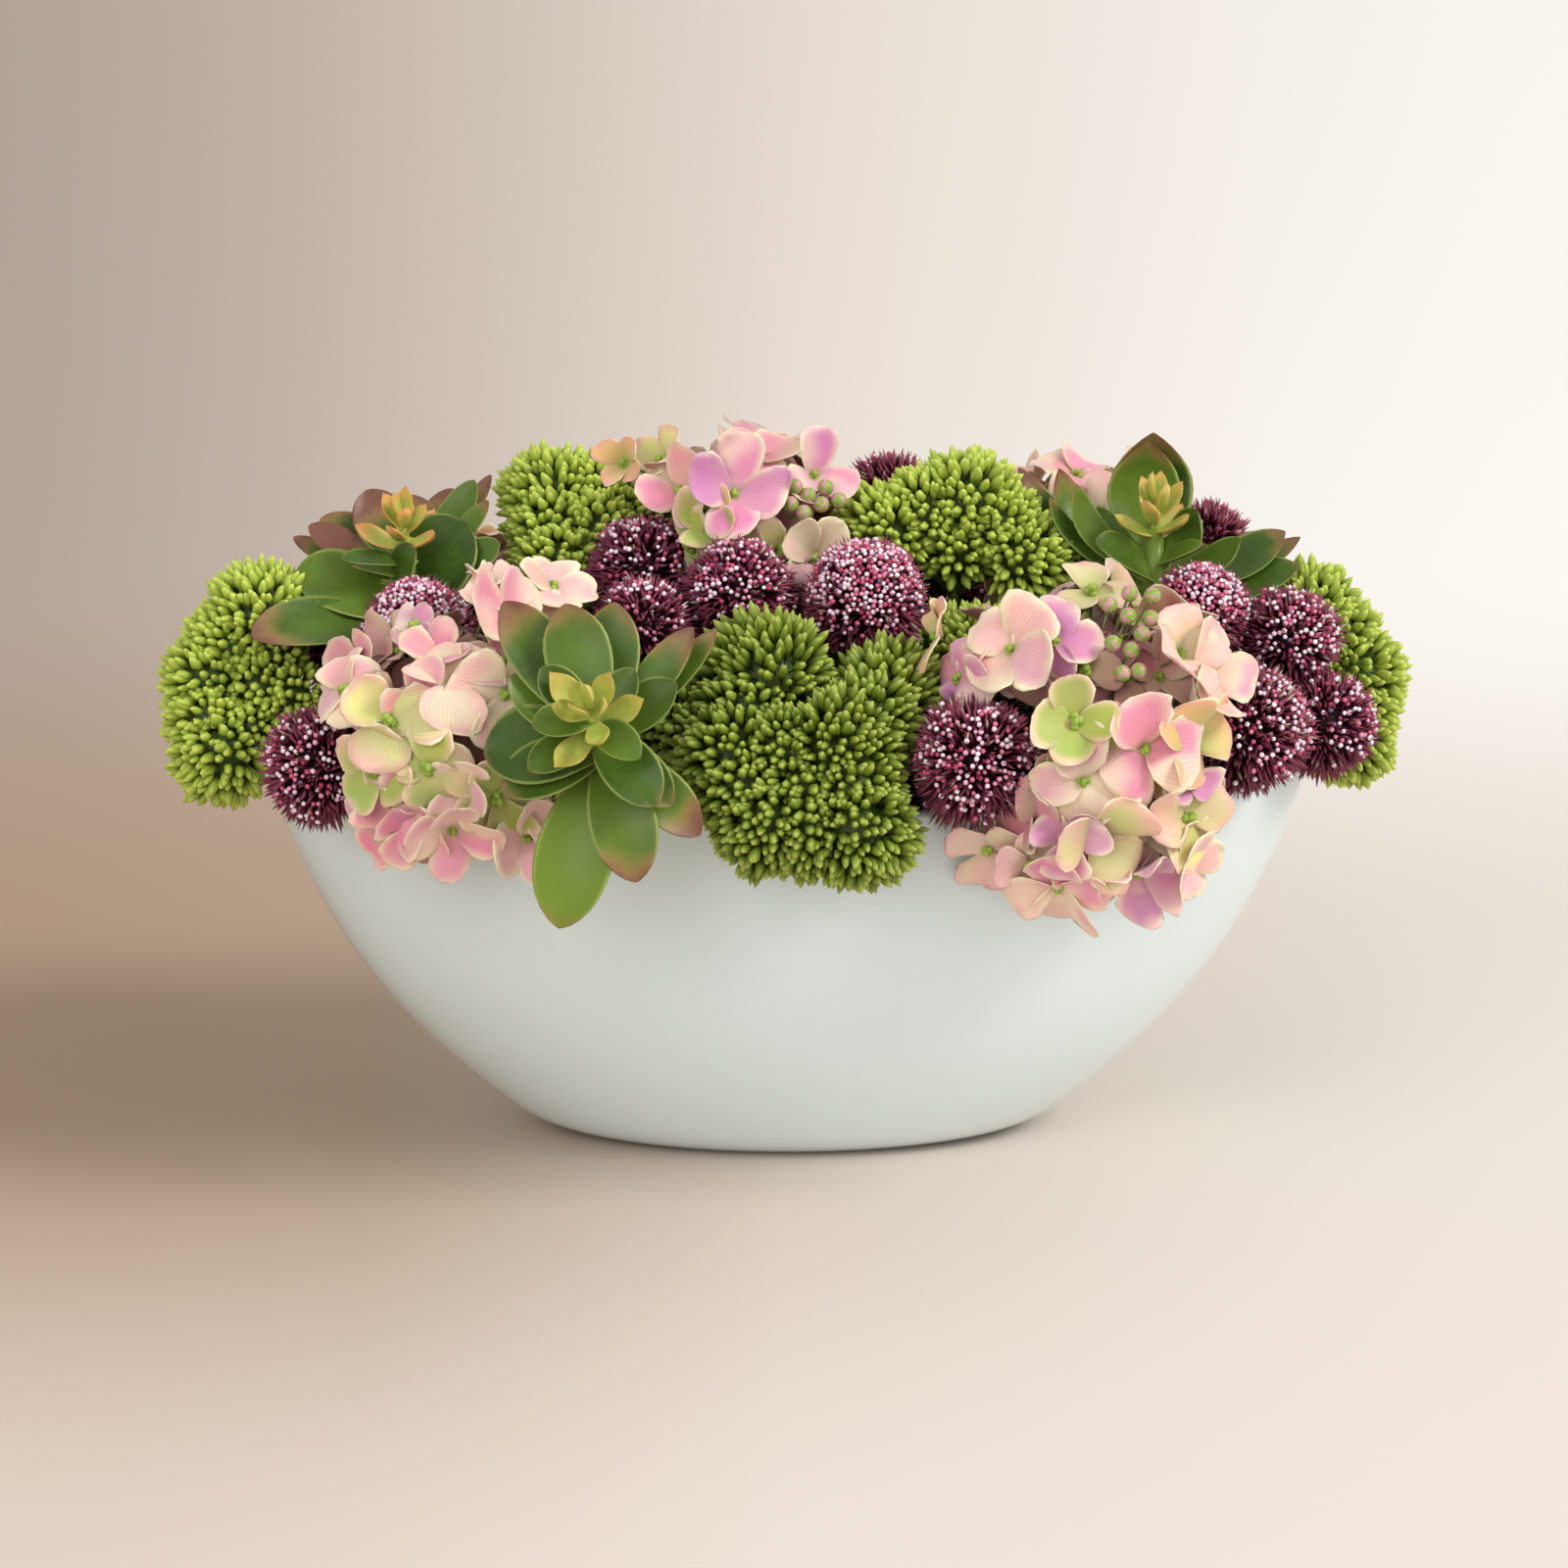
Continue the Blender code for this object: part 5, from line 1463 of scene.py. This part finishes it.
def make_studio():
    half = FLOOR_HALF
    mesh = bpy.data.meshes.new("floor")
    corners = [(-half, -half, 0), (half, -half, 0), (half, half, 0), (-half, half, 0)]
    mesh.from_pydata(corners, [], [(0, 1, 2, 3)])
    floor = show("studio_floor", mesh)
    made, tree, shader = finish("floor_paper", Roughness=0.9)
    place = put(tree, "ShaderNodeTexCoord").outputs["Object"]
    parts = put(tree, "ShaderNodeSeparateXYZ", {0: place}).outputs
    depth = maths(tree, "ADD", maths(tree, "MULTIPLY", parts[1], 0.42), 1.0)
    side = maths(tree, "DIVIDE", parts[0], maths(tree, "MAXIMUM", depth, 0.5))
    side = between(tree, side, -0.40, 0.40)
    # Painted light: the far band stands for the lit backdrop, dark at the left and bright at the right as
    # the light falls from the right.
    wall = shades(
        tree, side, (0.0, (0.37, 0.295, 0.25)), (0.5, (0.70, 0.63, 0.57)), (1.0, (0.86, 0.85, 0.82)),
    )
    # Painted shadow: the middle band is darkest at the left, where the bowl's shadow falls on the floor.
    middle = shades(
        tree, side, (0.0, (0.34, 0.230, 0.155)), (0.16, (0.375, 0.27, 0.185)), (0.5, (0.60, 0.52, 0.455)),
        (1.0, (0.71, 0.66, 0.61)),
    )
    # Painted shade: the near band is darker at the left and lighter at the right.
    near = shades(
        tree, side, (0.0, (0.58, 0.49, 0.42)), (0.5, (0.65, 0.59, 0.54)), (1.0, (0.69, 0.62, 0.58)),
    )
    # The bands blend from near to far into one floor of painted light and shade.
    painted_light_floor = mixed(tree, between(tree, parts[1], -0.55, 0.05), near, middle)
    painted_light_floor = mixed(tree, between(tree, parts[1], 0.30, 1.2), painted_light_floor, wall)
    fibres = maths(tree, "MULTIPLY", grain(tree, 120), 0.04)
    colour = mixed(tree, fibres, painted_light_floor, (0.5, 0.45, 0.4))
    coat(tree, shader, colour)
    floor.data.materials.append(made)

    world = bpy.data.worlds.new("studio")
    world.use_nodes = True
    sky = world.node_tree.nodes["Background"]
    sky.inputs["Color"].default_value = (1.0, 0.985, 0.965, 1)
    sky.inputs["Strength"].default_value = SKY_STRENGTH
    bpy.context.scene.world = world

    def lamp(name, kind, energy, place, aim, **settings):
        data = bpy.data.lights.new(name, kind)
        data.energy = energy
        for title, value in settings.items():
            setattr(data, title, value)
        obj = bpy.data.objects.new(name, data)
        bpy.context.scene.collection.objects.link(obj)
        obj.location = place
        aimed = Vector(aim) - Vector(place)
        obj.rotation_euler = aimed.to_track_quat("-Z", "Y").to_euler()

    lamp("daylight", "SUN", 1.8, (1.2, -0.45, 1.15), (0, 0, 0.1), angle=math.radians(20),
         color=(1.0, 0.975, 0.945))
    lamp("window", "AREA", 6, (1.6, -1.3, 1.2), (0, 0, 0.2), shape="RECTANGLE", size=1.0, size_y=1.4)
    lamp("soft_fill", "AREA", 19, (-1.2, -2.0, 1.3), (0, 0, 0.2), shape="RECTANGLE", size=1.6, size_y=1.6)


def make_camera():
    data = bpy.data.cameras.new("front")
    data.lens = CAMERA_LENS
    data.sensor_width = 36
    data.clip_end = 60
    obj = bpy.data.objects.new("front", data)
    bpy.context.scene.collection.objects.link(obj)
    away = Vector((0, -math.cos(FRONT_TILT), math.sin(FRONT_TILT)))
    obj.location = mm(CAMERA_TARGET) + away * (CAMERA_DISTANCE * MM)
    obj.rotation_euler = (-away).to_track_quat("-Z", "Y").to_euler()
    bpy.context.scene.camera = obj
    bpy.context.scene.view_settings.view_transform = "Standard"


def main():
    make_camera()
    make_studio()
    heads = Heads()
    stem = stem_finish()
    make_bowl()
    finish_foam()
    make_succulents()
    make_hydrangeas(heads, stem)
    make_alliums(heads, stem)
    make_sedums(heads)
    make_moss()


main()
